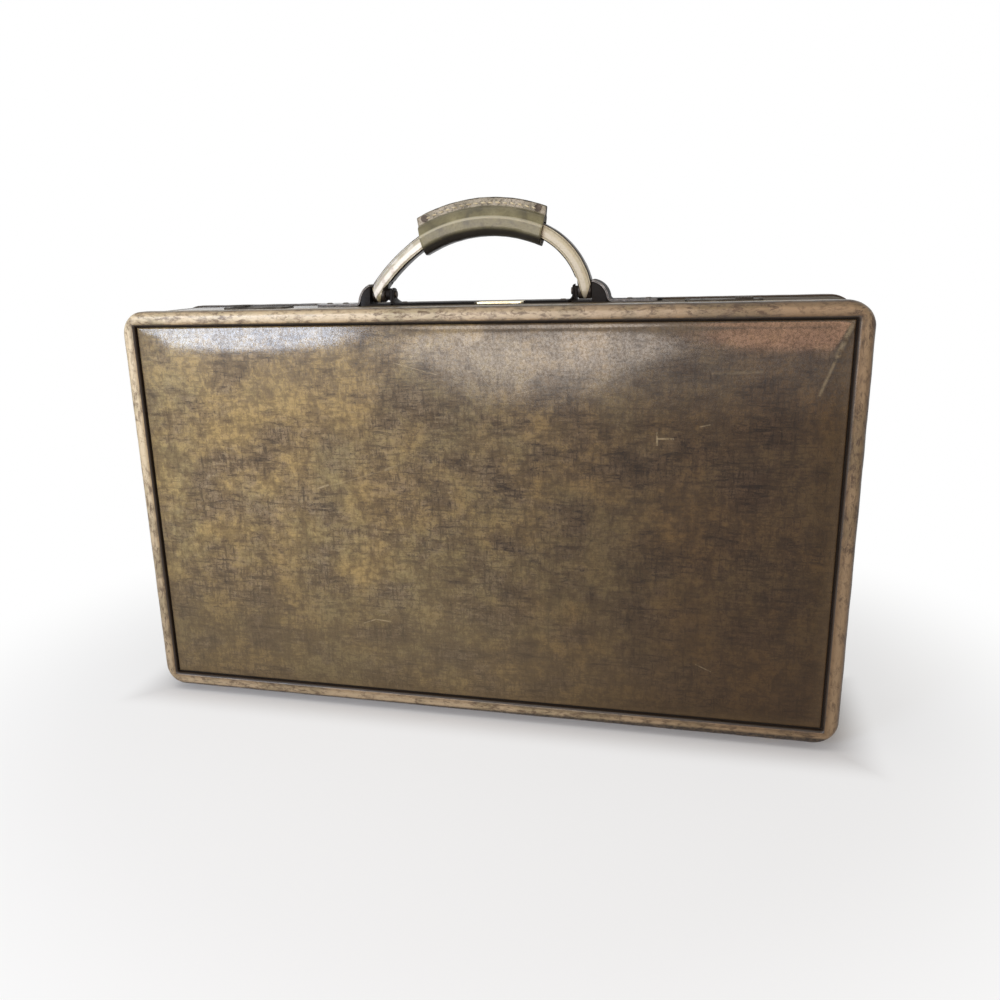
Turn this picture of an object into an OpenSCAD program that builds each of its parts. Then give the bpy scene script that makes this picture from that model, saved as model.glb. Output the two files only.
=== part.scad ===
// Leather attache case, standing on its hinge side with the handle up.
// X runs along the width, +Y from the lid to the back, +Z up; the feet stand on z = 0.

/* [Case] */
// Width over the rolled bindings
case_w = 457; // [400:1:520]
// Height over the rolled bindings, without the feet
case_h = 264; // [240:1:330]
// Depth of the lid, from its face to the parting line
lid_depth = 32; // [28:1:45]
// Depth of the base, from the parting line to the back
base_depth = 54; // [50:1:90]
// Outer radius of the case corners
corner_r = 15; // [13:0.5:20]

/* [Shell] */
// Thickness of the wooden wall frames
wall_t = 5; // [4:0.25:6]
// Thickness of the leather over the walls
skin_t = 1.2; // [1:0.1:1.6]
// How far the walls stand back behind the rolled bindings
wall_inset = 1.2; // [1:0.1:1.8]
// Thickness of the stiff boards behind the leather panels
board_t = 3; // [2.5:0.25:4]
// Thickness of the lining
lining_t = 0.8; // [0.6:0.1:1.2]
// Clearance between glued pieces that nest in each other
seat_gap = 0.05; // [0.02:0.01:0.1]

/* [Bindings and panels] */
// Width of the binding on the face
binding_w = 9; // [8:0.25:11]
// How far the binding reaches down the walls
binding_depth = 10; // [8:0.5:12]
// Radius of the binding's outer roll
binding_roll = 3.4; // [2.5:0.1:3.8]
// Thickness of the binding where it lies on the face
binding_face_t = 4; // [3.8:0.1:5]
// Gap between the binding and the leather panel
panel_gap = 1.2; // [0.8:0.1:2]
// Depth of the panel's rim below the binding's face
panel_recess = 2.4; // [2:0.1:3]
// Height of the panel's padded crown over its rim
panel_crown = 1.7; // [0.5:0.1:1.9]
// Width of the flat lip round the crown
panel_lip = 3; // [2:0.5:6]

/* [Hinge] */
// Number of knuckles along the hinge
knuckle_count = 22; // [10:2:30]
// Outer radius of the knuckles
barrel_r = 2.6; // [2.4:0.1:3]
// Radius of the hinge pin
hinge_pin_r = 1.2; // [1:0.1:1.4]
// Thickness of the hinge leaves and of the rim frames
leaf_t = 0.8; // [0.6:0.1:1]
// Reach of the leaves and rim frames along the inside of the walls
flange_w = 10; // [9:0.5:12]
// Radial running clearance of pins in their bores
running_gap = 0.05; // [0.02:0.01:0.1]
// Side gap between two knuckles
knuckle_gap = 0.3; // [0.2:0.05:0.5]
// Half of the gap between the lid's rim and the base's rim
parting_gap = 0.1; // [0.05:0.05:0.2]
// Rivets along each hinge leaf
hinge_rivet_count = 8; // [4:1:12]

/* [Rim] */
// Thickness of the lid's closing tongue
tongue_t = 1; // [0.8:0.1:1.2]
// How far the tongue reaches into the base
tongue_reach = 4; // [3:0.5:6]
// Side clearance of the tongue
tongue_gap = 0.3; // [0.2:0.05:0.5]

/* [Handle] */
// Height of the handle's centre line over the bindings at its crown
handle_rise = 49; // [46:1:60]
// Radius of the handle's centre line in the grip
grip_arc_r = 92; // [86:1:100]
// Half of the angle that the grip spans
grip_half_angle = 25.2; // [23:0.2:27]
// Sideways place of the grip's crown, which leaves the left end hanging lower
crown_x = 5.2; // [0:0.2:6]
// Radius of the centre line in the left leg
left_leg_r = 120; // [80:5:200]
// Radius of the centre line in the right leg
right_leg_r = 50; // [46:1:60]
// Thickness of the strap core
core_t = 9; // [8:0.25:9.5]
// Width of the strap core
core_w = 10; // [9:0.25:10.5]
// Edge radius of the strap core
core_edge_r = 2; // [1:0.25:3]
// Thickness of the grip, radially
grip_t = 18; // [16:0.5:20]
// Width of the grip
grip_w = 17; // [15:0.5:20]
// Edge radius of the grip
grip_edge_r = 6; // [4:0.5:7]
// Height of the sewn fin along the grip's outer side
fin_h = 5.6; // [4:0.2:8]
// Thickness of the fin
fin_t = 4.4; // [3:0.2:6]
// Angle that the grip has crept along the core
grip_creep = 2.8; // [0:0.2:3]
// Depth of the hollow in each end of the grip
grip_hollow = 7.5; // [6.8:0.1:9]
// Radius of the rivets through the fin's ends
grip_rivet_r = 1.4; // [1:0.1:1.8]

/* [Handle mounts] */
// Height of the handle's pivot over the leather of the wall
pivot_h = 6.8; // [6.8:0.1:8]
// Radius of the round end of the eye
eye_r = 5; // [4.6:0.1:5]
// Width of the eye between the cheeks
eye_w = 9.2; // [9:0.1:9.6]
// Distance of the eyes from the middle of the handle
eye_reach = 68; // [67.6:0.2:69]
// How far the handle hangs to the left
eye_shift = 1.4; // [1:0.2:2]
// Side clearance of the eye between the cheeks
eye_gap = 0.4; // [0.3:0.05:0.6]
// Radius of the pivot pin
pivot_pin_r = 1.5; // [1.2:0.1:2]
// Wall of the brass bush in the eye
bush_wall = 0.9; // [0.7:0.1:1.2]
// Width of the mount, front to back
mount_w = 17; // [15:0.5:20]
// Thickness of the mount's leather strap on the wall
strap_t = 1.4; // [1.2:0.1:1.4]
// Distance of the inner cheeks' faces from the middle of the case
cheek_x = 58.8; // [58:0.2:59.2]
// Width of the inner cheek, front to back
cheek_w = 8.4; // [7:0.1:8.6]
// Height of the outer cheek over the leather of the wall
dome_h = 13.6; // [12.6:0.1:15]
// Distance of the outer cheeks' backs from the middle of the case
dome_x = 82.2; // [81:0.2:84]
// Length of the strap beyond the outer cheek
flap_len = 32; // [26:1:36]

/* [Locks] */
// Distance of each lock from the middle of the case
lock_x = 150; // [142:1:160]
// Length of the lock plate
lock_plate_l = 44; // [42:1:50]
// Width of the lock plate
lock_plate_w = 19; // [18:0.5:22]
// Thickness of the lock plate
lock_plate_t = 1; // [0.8:0.1:1.2]
// Wall of the lock case
lock_wall = 0.9; // [0.8:0.05:1]
// Radius of the sliding bolt
bolt_r = 1.3; // [1.2:0.05:1.4]
// Travel of the sliding bolt
bolt_travel = 7; // [6:0.5:8]
// Thickness of the lid's staple
staple_t = 2; // [1.6:0.1:2.4]

/* [Stays] */
// Distance of each stay pivot from the hinge axis
stay_r = 26.5; // [26:0.1:27]
// Distance of each stay pivot from the parting line, lid closed
stay_offset = 9.5; // [9.2:0.1:9.8]
// Width of the stay bar
stay_w = 7; // [6.4:0.1:7.2]
// Thickness of the stay bar
stay_t = 1.2; // [1:0.1:1.6]
// Radius of the stay pivots
stay_pivot_r = 2; // [1.6:0.1:2.2]
// Opening angle of the lid
lid_open = 100; // [90:1:100]

/* [Feet and furniture] */
// Height of the feet below the bindings
foot_h = 4; // [3.6:0.1:6]
// Radius of the feet
foot_r = 6; // [5:0.5:8]
// Distance of the feet from the middle, along the width
foot_x = 190; // [150:1:196]
// Length of the blank plate under the handle
plate_l = 31; // [24:1:40]
// Width of the blank plate
plate_w = 14; // [10:0.5:18]
// Thickness of the blank plate
plate_t = 1; // [0.8:0.1:1.4]
// Sideways place of the blank plate
plate_x = 12.5; // [0:0.5:20]
// Height of the lid's document pocket
pocket_h = 150; // [120:5:190]
// Thickness of the pocket's leather
pocket_t = 1.4; // [1.2:0.1:1.8]
// Room inside the document pocket
pocket_room = 6; // [5:0.5:8]
// Distance of the pocket from the side walls
pocket_margin = 32; // [28:1:50]

/* [Hidden] */
$fn = 48;
eps = 0.01;

// Planes across the depth
front_y = -(lid_depth + base_depth) / 2;
back_y = (lid_depth + base_depth) / 2;
part_y = front_y + lid_depth;
edge_cap = leaf_t + parting_gap;

// Insets of the layers of a wall, measured in from the outside of the binding
skin_in = wall_inset;
wood_in = skin_in + skin_t + seat_gap;
inner_in = wood_in + wall_t;
flange_in = inner_in + leaf_t;
tongue_in = flange_in + tongue_gap;

// Levels
mid_z = foot_h + case_h / 2;
top_z = foot_h + case_h;
wall_top_z = top_z - skin_in;
wall_bottom_z = foot_h + skin_in;
hinge_z = wall_bottom_z;
hinge_len = case_w - 2 * (corner_r + 3);
knuckle_l = hinge_len / knuckle_count;
leaf_top_z = foot_h + flange_in;
face_in_y = binding_face_t + board_t + lining_t;
rivet_r = 1.2;
rivet_bite = 0.6 * wall_t;
head_h = 0.5;
knob = 1.8;
rim_clear = 0.3;
stay_clear = 14;

// Places along the depth of the base
base_mid_y = part_y + base_depth / 2;

// Rounded rectangle in the plane of the case's face
module face_rect(inset, r) {
    w = case_w - 2 * inset;
    h = case_h - 2 * inset;
    square([w - 2 * r, h], center = true);
    square([w, h - 2 * r], center = true);
    for (sx = [-1, 1], sz = [-1, 1])
        translate([sx * (w / 2 - r), sz * (h / 2 - r)]) circle(r);
}

// Layer of the case's wall between two insets, from y0 to y1
module wall_ring(in0, in1, y0, y1) {
    along_y(y0, y1) difference() {
        face_rect(in0, corner_r - in0);
        face_rect(in1, corner_r - in1);
    }
}

// Extrude a drawing of the face from y0 to y1, at the middle of the case
module along_y(y0, y1) {
    translate([0, y1, mid_z]) rotate([90, 0, 0]) linear_extrude(y1 - y0) children();
}

// Extrude a drawing in the X-Z plane about a middle y
module slab_y(y_mid, width) {
    translate([0, y_mid + width / 2, 0]) rotate([90, 0, 0]) linear_extrude(width) children();
}

// Cylinder along X between two places
module rod_x(x0, x1, y, z, r) {
    translate([x0, y, z]) rotate([0, 90, 0]) cylinder(h = x1 - x0, r = r);
}

// Cylinder along Y between two places
module rod_y(x, y0, y1, z, r) {
    translate([x, y1, z]) rotate([90, 0, 0]) cylinder(h = y1 - y0, r = r);
}

// Box between two corners
module box(low, high) {
    translate(low) cube([high[0] - low[0], high[1] - low[1], high[2] - low[2]]);
}

// The children on the right, or their mirror image on the left
module on_side(s) {
    if (s < 0) mirror([1, 0, 0]) children();
    else children();
}

// Turn something made for the lid's face into the one at the back
module at_back() {
    mirror([0, 1, 0]) children();
}

// Section of the binding's edge: x runs out from a corner's centre, y back from the face
module binding_section() {
    r = binding_roll;
    square([corner_r - r, binding_depth]);
    translate([0, r]) square([corner_r, binding_depth - r]);
    translate([corner_r - r, r]) circle(r);
}

// One side of the binding's blank, of a length, along X above the middle of the case
module binding_side(l, half) {
    translate([-l / 2, front_y, mid_z + half - corner_r]) rotate([90, 0, 90])
        linear_extrude(l) mirror([1, 0]) rotate([0, 0, 90]) binding_section();
}

// Binding: a rolled edge round the face that also laps the walls
module binding_shape() {
    w = case_w - 2 * corner_r;
    h = case_h - 2 * corner_r;
    difference() {
        union() {
            for (a = [0, 180]) translate([0, 0, mid_z]) rotate([0, a, 0]) translate([0, 0, -mid_z])
                binding_side(w, case_h / 2);
            for (a = [90, 270]) translate([0, 0, mid_z]) rotate([0, a, 0]) translate([0, 0, -mid_z])
                binding_side(h, case_w / 2);
            for (k = [0:3]) {
                sx = (k == 0 || k == 3) ? 1 : -1;
                sz = k < 2 ? 1 : -1;
                translate([sx * w / 2, front_y, mid_z + sz * h / 2]) rotate([-90, 0, 0])
                    rotate([0, 0, -90 * (k + 1)]) rotate_extrude(angle = 90) binding_section();
            }
        }
        along_y(front_y - 1, front_y + binding_depth)
            square([case_w - 2 * binding_w, case_h - 2 * binding_w], center = true);
        along_y(front_y + binding_face_t, front_y + binding_depth + 1)
            face_rect(skin_in - seat_gap, corner_r - skin_in + seat_gap);
    }
}

// Share of the full crown at a place on the panel, from 0 at the lip to 1 in the middle
function crown_share(u, v) = (1 - pow(abs(u), 6)) * (1 - pow(abs(v), 6));

// Leather panel: a flat lip and a padded crown, as a grid of points
module panel_shape() {
    w = case_w / 2 - binding_w - panel_gap;
    h = case_h / 2 - binding_w - panel_gap;
    nx = 20;
    nz = 12;
    rim_y = front_y + panel_recess;
    back_face_y = front_y + binding_face_t - seat_gap;
    us = [for (i = [0:nx]) -cos(180 * i / nx)];
    vs = [for (j = [0:nz]) -cos(180 * j / nz)];
    lip_u = 1 - panel_lip / w;
    lip_v = 1 - panel_lip / h;
    front = [for (v = vs, u = us)
        let (cu = min(1, abs(u) / lip_u), cv = min(1, abs(v) / lip_v))
        [u * w, rim_y - panel_crown * crown_share(cu, cv), mid_z + v * h]];
    rear = [for (v = vs, u = us) [u * w, back_face_y, mid_z + v * h]];
    m = nx + 1;
    total = m * (nz + 1);
    cells = [for (j = [0:nz - 1], i = [0:nx - 1]) j * m + i];
    face_tris = [for (c = cells) each [[c, c + m, c + 1], [c + 1, c + m, c + m + 1]]];
    back_tris = [for (t = face_tris) [t[2] + total, t[1] + total, t[0] + total]];
    rim = concat([for (i = [0:nx - 1]) i], [for (j = [0:nz - 1]) j * m + nx],
                 [for (i = [nx:-1:1]) nz * m + i], [for (j = [nz:-1:1]) j * m]);
    n = len(rim);
    side_tris = [for (k = [0:n - 1]) let (a = rim[k], b = rim[(k + 1) % n])
        each [[a, b, a + total], [b, b + total, a + total]]];
    polyhedron(concat(front, rear), concat(face_tris, back_tris, side_tris));
}

// Stiff board behind a panel, inside the wall frame
module board_shape() {
    along_y(front_y + binding_face_t, front_y + binding_face_t + board_t)
        face_rect(inner_in + seat_gap, corner_r - inner_in - seat_gap);
}

// Room that the barrel needs in the walls, rims and skins
module barrel_room() {
    rod_x(-hinge_len / 2 - knuckle_gap, hinge_len / 2 + knuckle_gap, part_y, hinge_z,
          barrel_r + knuckle_gap);
}

// Wooden wall frame of one half, with the room for the barrel
module walls_shape(y0, y1) {
    difference() {
        wall_ring(wood_in, inner_in, y0, y1);
        barrel_room();
    }
}

// Leather over the walls of one half
module skin_shape(y0, y1) {
    difference() {
        wall_ring(skin_in, skin_in + skin_t, y0, y1);
        barrel_room();
    }
}

// Lining: a floor on the board and four sides on the walls
module lining_shape(depth) {
    y0 = front_y + binding_face_t + board_t;
    in0 = inner_in + seat_gap;
    along_y(y0, y0 + lining_t) face_rect(in0, corner_r - in0);
    along_y(y0, depth) difference() {
        face_rect(in0, corner_r - in0);
        face_rect(in0 + lining_t, corner_r - in0 - lining_t);
    }
}

// Part of the rim that runs up both sides and across the top
module rim_zone(z0) {
    box([-case_w, -case_w, z0], [case_w, case_w, 2 * case_w]);
}

// Room for the hinge leaves between the ends of the rim
module leaf_zone() {
    box([-hinge_len / 2 - knuckle_gap, -case_w, 0],
        [hinge_len / 2 + knuckle_gap, case_w, leaf_top_z + 2]);
}

// Knuckles of one leaf: every second one, starting at the first or the second
module knuckles(first) {
    for (k = [first:2:knuckle_count - 1]) {
        x0 = -hinge_len / 2 + k * knuckle_l + knuckle_gap / 2;
        rod_x(x0, x0 + knuckle_l - knuckle_gap, part_y, hinge_z, barrel_r);
    }
}

// Hinge leaf: a strip on the mating edge, turned along the inside of the bottom wall
module leaf_shape(first, s) {
    y0 = part_y + s * parting_gap;
    y1 = part_y + s * edge_cap;
    y2 = part_y + s * flange_w;
    difference() {
        union() {
            difference() {
                box([-hinge_len / 2, min(y0, y1), hinge_z], [hinge_len / 2, max(y0, y1), leaf_top_z]);
                for (k = [1 - first:2:knuckle_count - 1]) {
                    x0 = -hinge_len / 2 + k * knuckle_l - knuckle_gap / 2;
                    rod_x(x0, x0 + knuckle_l + knuckle_gap, part_y, hinge_z, barrel_r + knuckle_gap);
                }
            }
            box([-hinge_len / 2, min(y0, y2), leaf_top_z - leaf_t],
                [hinge_len / 2, max(y0, y2), leaf_top_z]);
            knuckles(first);
        }
        rod_x(-hinge_len, hinge_len, part_y, hinge_z, hinge_pin_r + running_gap);
        leaf_rivet_places(s) translate([0, 0, -wall_t])
            cylinder(h = 2 * wall_t, r = rivet_r + seat_gap);
    }
}

// Places of the rivets along a leaf
module leaf_rivet_places(s) {
    pitch = hinge_len / hinge_rivet_count;
    for (k = [0:hinge_rivet_count - 1])
        translate([(k + 0.5) * pitch - hinge_len / 2, part_y + s * flange_w * 0.6, leaf_top_z])
            children();
}

// Rivets of a leaf, set in the wood of the bottom wall
module leaf_rivets(s) {
    leaf_rivet_places(s) {
        translate([0, 0, -leaf_t - rivet_bite]) cylinder(h = leaf_t + rivet_bite + eps, r = rivet_r);
        cylinder(h = head_h, r1 = knob * rivet_r, r2 = 1.2 * rivet_r);
    }
}

// Bores for a leaf's rivets in the wood
module leaf_rivet_bores(s) {
    leaf_rivet_places(s) translate([0, 0, -leaf_t - rivet_bite - seat_gap])
        cylinder(h = wall_t, r = rivet_r + seat_gap);
}

// Lock geometry
lock_cavity_h = wall_top_z - (top_z - inner_in) - 2 * lock_wall;
lock_mid_z = top_z - inner_in + lock_wall + lock_cavity_h / 2;
bolt_y = part_y + edge_cap + 6;
bolt_l = 13;
bolt_tip_gap = 1;
lock_case_l = 38;
lock_case_w = 15;
staple_h = lock_cavity_h - 0.6;
thumb_l = 10;
thumb_w = 8;
thumb_h = 1.2;
thumb_lift = 0.2;
rib_pitch = 1.8;
bolt_play = 0.25;
shank_l = 5;
shank_w = 4;
bolt_x0 = lock_x + staple_t / 2 + bolt_tip_gap;
thumb_x = lock_x + staple_t / 2 + bolt_travel + shank_l / 2 + bolt_tip_gap;
slot_x0 = thumb_x - shank_l / 2 - bolt_travel - 0.4;
slot_x1 = thumb_x + shank_l / 2 + 0.4;
keyhole_x = lock_x - 12;
keyhole_r = 1.5;
keyhole_l = 4;
slot_play = 0.3;
staple_play = 0.4;
staple_foot = 8;
staple_nose = 3;
plate_corner = 3;
lock_pin_x = (lock_plate_l + lock_case_l) / 4;
lock_pin_r = 0.9;
lock_pin_l = 4;
lock_pin_inset = 3;

// Places of the four pins of a lock plate
module lock_pin_places() {
    reach = lock_plate_w / 2 - lock_pin_inset;
    for (dx = [-1, 1], dy = [-1, 1])
        translate([lock_x + dx * lock_pin_x, lock_plate_y() + dy * reach, wall_top_z]) children();
}

function lock_plate_y() = part_y + edge_cap + lock_plate_w / 2;

// Plate with rounded corners about a point
module rounded_plate(l, w, r, t) {
    linear_extrude(t) {
        square([l - 2 * r, w], center = true);
        square([l, w - 2 * r], center = true);
        for (sx = [-1, 1], sy = [-1, 1]) translate([sx * (l / 2 - r), sy * (w / 2 - r)]) circle(r);
    }
}

// Face plate of a lock, with its thumb slot and keyhole
module lock_plate_shape() {
    z0 = wall_top_z - 1;
    z1 = wall_top_z + 2 * lock_plate_t;
    difference() {
        translate([lock_x, lock_plate_y(), wall_top_z])
            rounded_plate(lock_plate_l, lock_plate_w, plate_corner, lock_plate_t);
        thumb_slot(z0, z1);
        translate([keyhole_x, lock_plate_y(), z0]) cylinder(h = z1 - z0, r = keyhole_r);
        box([keyhole_x - 0.4 * keyhole_r, lock_plate_y() - keyhole_l, z0],
            [keyhole_x + 0.4 * keyhole_r, lock_plate_y(), z1]);
        lock_pin_places() translate([0, 0, -1]) cylinder(h = z1 - z0, r = lock_pin_r + seat_gap);
    }
}

// Slot that the thumb piece's shank slides in
module thumb_slot(z0, z1) {
    box([slot_x0, bolt_y - shank_w / 2 - slot_play, z0], [slot_x1, bolt_y + shank_w / 2 + slot_play, z1]);
}

// Outside of a lock case, let into the top wall behind the rim
module lock_room(gap) {
    y0 = part_y + edge_cap;
    box([lock_x - lock_case_l / 2 - gap, y0 - gap, top_z - inner_in - gap - eps],
        [lock_x + lock_case_l / 2 + gap, y0 + lock_case_w + gap, wall_top_z + gap]);
}

// Steel case of a lock: open to the slot above and to the staple in front
module lock_case_shape() {
    x0 = lock_x - lock_case_l / 2;
    x1 = lock_x + lock_case_l / 2;
    y0 = part_y + edge_cap;
    y1 = y0 + lock_case_w;
    z0 = top_z - inner_in;
    difference() {
        box([x0, y0, z0], [x1, y1, wall_top_z]);
        box([x0 + lock_wall, y0 + lock_wall, z0 + lock_wall],
            [x1 - lock_wall, y1 - lock_wall, wall_top_z - lock_wall]);
        thumb_slot(lock_mid_z, wall_top_z + 1);
        box([keyhole_x - keyhole_r, lock_plate_y() - keyhole_l, lock_mid_z],
            [keyhole_x + keyhole_r, lock_plate_y() + keyhole_r, wall_top_z + 1]);
        staple_room();
    }
}

// Way in for the lid's staple
module staple_room() {
    reach_x = staple_t / 2 + staple_play;
    reach_z = staple_h / 2 + slot_play;
    box([lock_x - reach_x, part_y - 1, lock_mid_z - reach_z],
        [lock_x + reach_x, part_y + edge_cap + lock_wall + 1, lock_mid_z + reach_z]);
}

// Staple on the lid: a foot in the wall and an eye that the bolt passes
module lock_staple_shape() {
    x0 = lock_x - staple_t / 2;
    x1 = lock_x + staple_t / 2;
    y_eye = bolt_y + staple_nose - staple_h / 2;
    difference() {
        union() {
            box([x0, part_y - edge_cap - staple_foot, lock_mid_z - staple_h / 2],
                [x1, y_eye, lock_mid_z + staple_h / 2]);
            rod_x(x0, x1, y_eye, lock_mid_z, staple_h / 2);
        }
        rod_x(x0 - 1, x1 + 1, bolt_y, lock_mid_z, bolt_r + bolt_play);
    }
}

// Slot for the staple's foot in the lid's top wall and rim
module staple_seat() {
    reach_x = staple_t / 2 + seat_gap;
    reach_z = staple_h / 2 + seat_gap;
    box([lock_x - reach_x, part_y - edge_cap - staple_foot - seat_gap, lock_mid_z - reach_z],
        [lock_x + reach_x, part_y + 1, lock_mid_z + reach_z]);
}

// Sliding bolt with its thumb piece, drawn back
module lock_bolt_shape() {
    z0 = wall_top_z + lock_plate_t + thumb_lift;
    z1 = z0 + thumb_h;
    rod_x(bolt_x0, bolt_x0 + bolt_l, bolt_y, lock_mid_z, bolt_r);
    box([thumb_x - shank_l / 2, bolt_y - shank_w / 2, lock_mid_z - 1],
        [thumb_x + shank_l / 2, bolt_y + shank_w / 2, z0 + eps]);
    difference() {
        box([thumb_x - thumb_l / 2, bolt_y - thumb_w / 2, z0],
            [thumb_x + thumb_l / 2, bolt_y + thumb_w / 2, z1]);
        for (k = [-2:2])
            rod_y(thumb_x + k * rib_pitch, bolt_y - thumb_w, bolt_y + thumb_w, z1 + 0.2, rib_pitch / 3);
    }
}

// Handle geometry: an arc through the grip, and in each leg an arc from inside the grip to the eye
function on_arc(c, r, a) = [c[0] + r * sin(a), c[1] + r * cos(a)];
function lean_of(c, p) = atan2(p[0] - c[0], p[1] - c[1]);
crown_z = top_z + handle_rise;
pivot_z = wall_top_z + pivot_h;
grip_c = [crown_x, crown_z - grip_arc_r];
grip_a0 = -grip_half_angle - grip_creep;
grip_a1 = grip_half_angle - grip_creep;
leg_inset = 4;
bush_r = pivot_pin_r + running_gap + bush_wall;
core_step = 0.4;
grip_fit = 0.25;
leg_lap = 1.2;
neck_h = 4;
hollow_t = 1.4;
hollow_w = 1.2;
cheek_reach = norm([cheek_w / 2, pivot_h]);

// Per side, -1 for the left: place of the eye, start, radius and centre of the leg's arc
function eye_at(s) = s * eye_reach - eye_shift;
function leg_r(s) = s < 0 ? left_leg_r : right_leg_r;
function leg_start(s) = on_arc(grip_c, grip_arc_r, s < 0 ? grip_a0 + leg_inset : grip_a1 - leg_inset);
function leg_end(s) = [eye_at(s), pivot_z + neck_h];
function leg_c(s) = arc_centre(leg_start(s), leg_end(s), leg_r(s), s);

// Centre of the arc of radius r that bulges to side s between two places
function arc_centre(p, q, r, s) =
    let (c = (p + q) / 2, d = q - p, l = norm(d), u = d / l, back = sqrt(r * r - l * l / 4))
    [c[0] + s * u[1] * back, c[1] - s * u[0] * back];

// Rounded rectangle about a point, for the handle's sections
module section_rect(t, w, r) {
    square([t - 2 * r, w], center = true);
    square([t, w - 2 * r], center = true);
    for (sx = [-1, 1], sy = [-1, 1]) translate([sx * (t / 2 - r), sy * (w / 2 - r)]) circle(r);
}

// Sweep a section round a centre in the X-Z plane, between two angles from the vertical
module arc_sweep(c, r, a0, a1) {
    translate([c[0], base_mid_y, c[1]]) rotate([90, 0, 0]) rotate([0, 0, 90 - a1])
        rotate_extrude(angle = a1 - a0, $fn = 96) translate([r, 0]) children();
}

// One leg: an arc from inside the grip to the neck of its eye, cut back beside the inner cheek
module leg_shape(s) {
    c = leg_c(s);
    a0 = lean_of(c, leg_start(s));
    a1 = lean_of(c, leg_end(s));
    difference() {
        arc_sweep(c, leg_r(s), min(a0, a1), max(a0, a1)) section_rect(core_t, core_w, core_edge_r);
        on_side(s) rod_x(0, mount_gap0 + eye_gap, base_mid_y, pivot_z, cheek_reach + eye_gap);
    }
    translate([eye_at(s), base_mid_y, pivot_z]) linear_extrude(neck_h)
        section_rect(eye_w - core_step, core_w - core_step, core_edge_r);
}

// Handle core: a strap inside the grip, two thicker legs, and the eyes round the pivot pins
module handle_core_shape() {
    difference() {
        union() {
            arc_sweep(grip_c, grip_arc_r, grip_a0 + leg_inset - leg_lap, grip_a1 - leg_inset + leg_lap)
                section_rect(core_t - 2 * core_step, core_w - 2 * core_step, core_edge_r);
            for (s = [-1, 1]) {
                leg_shape(s);
                eye_bar(s, eye_r);
            }
        }
        for (s = [-1, 1])
            rod_x(eye_at(s) - eye_w, eye_at(s) + eye_w, base_mid_y, pivot_z, bush_r + seat_gap / 2);
    }
}

// Round bar along X across the eye of one side
module eye_bar(s, r) {
    rod_x(eye_at(s) - eye_w / 2, eye_at(s) + eye_w / 2, base_mid_y, pivot_z, r);
}

// Outline of the grip's section: padded body and sewn fin
module grip_section() {
    section_rect(grip_t, grip_w, grip_edge_r);
    translate([0, -fin_t / 2]) square([grip_t / 2 + fin_h - fin_t / 4, fin_t]);
    translate([grip_t / 2 + fin_h - fin_t / 4, 0]) section_rect(fin_t / 2, fin_t, fin_t / 8);
}

// Leather grip wrapped round the core, crept a little to one side
module handle_grip_shape() {
    hollow_a = grip_hollow * 180 / (PI * grip_arc_r);
    difference() {
        arc_sweep(grip_c, grip_arc_r, grip_a0, grip_a1) difference() {
            grip_section();
            section_rect(core_t + 2 * grip_fit, core_w + 2 * grip_fit, core_edge_r + grip_fit);
        }
        for (a = [grip_a0, grip_a1]) arc_sweep(grip_c, grip_arc_r, a - hollow_a, a + hollow_a)
            section_rect(core_t + 2 * hollow_t, core_w + 2 * hollow_w, core_edge_r + hollow_w);
        grip_rivet_places() translate([0, 0, -fin_t]) cylinder(h = 2 * fin_t, r = grip_rivet_r + seat_gap);
    }
}

// Places of the two rivets through the fin, along Y, each at an angle from the grip's end
rivet_inset = 4.5;
module grip_rivet_places() {
    for (a = [grip_a0 + rivet_inset, grip_a1 - rivet_inset]) {
        p = on_arc(grip_c, grip_arc_r + grip_t / 2 + fin_h / 2, a);
        translate([p[0], base_mid_y, p[1]]) rotate([90, 0, 0]) children();
    }
}

// Places across the width of a mount, measured outwards from the middle of the case
mount_gap0 = eye_reach - eye_shift - eye_w / 2 - eye_gap;
function mount_gap1(s) = s * eye_at(s) + eye_w / 2 + eye_gap;
function mount_x0(s) = plate_l / 2 + s * plate_x + tail_gap;
mount_x1 = dome_x + flap_len;
tail_gap = 0.6;
flare_r = 3.1;
dome_foot = 1.2;
pin_head_l = 1;
pin_head_r = 2.2;
pin_end_x = dome_x - 4;
mount_rivet_l = 5;
mount_head_h = 0.7;

// Strap of a mount with its outer cheek, as a profile across the width
module mount_profile(s) {
    t = dome_x - mount_gap1(s);
    h = dome_h - dome_foot;
    r = (h * h + t * t) / (2 * t);
    translate([mount_x0(s), wall_top_z]) square([mount_x1 - mount_x0(s), strap_t]);
    intersection() {
        translate([dome_x - r, wall_top_z + dome_foot]) circle(r, $fn = 96);
        translate([mount_gap1(s), wall_top_z]) square([2 * t, 2 * dome_h]);
    }
}

// Inner cheek of a mount with the flare at its root, as a profile
module mount_cheek_profile(s) {
    translate([cheek_x, wall_top_z]) square([mount_gap0 - cheek_x, pivot_h]);
    difference() {
        translate([cheek_x - flare_r, wall_top_z]) square([flare_r + eps, strap_t + flare_r]);
        translate([cheek_x - flare_r, wall_top_z + strap_t + flare_r]) circle(flare_r);
    }
}

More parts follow.
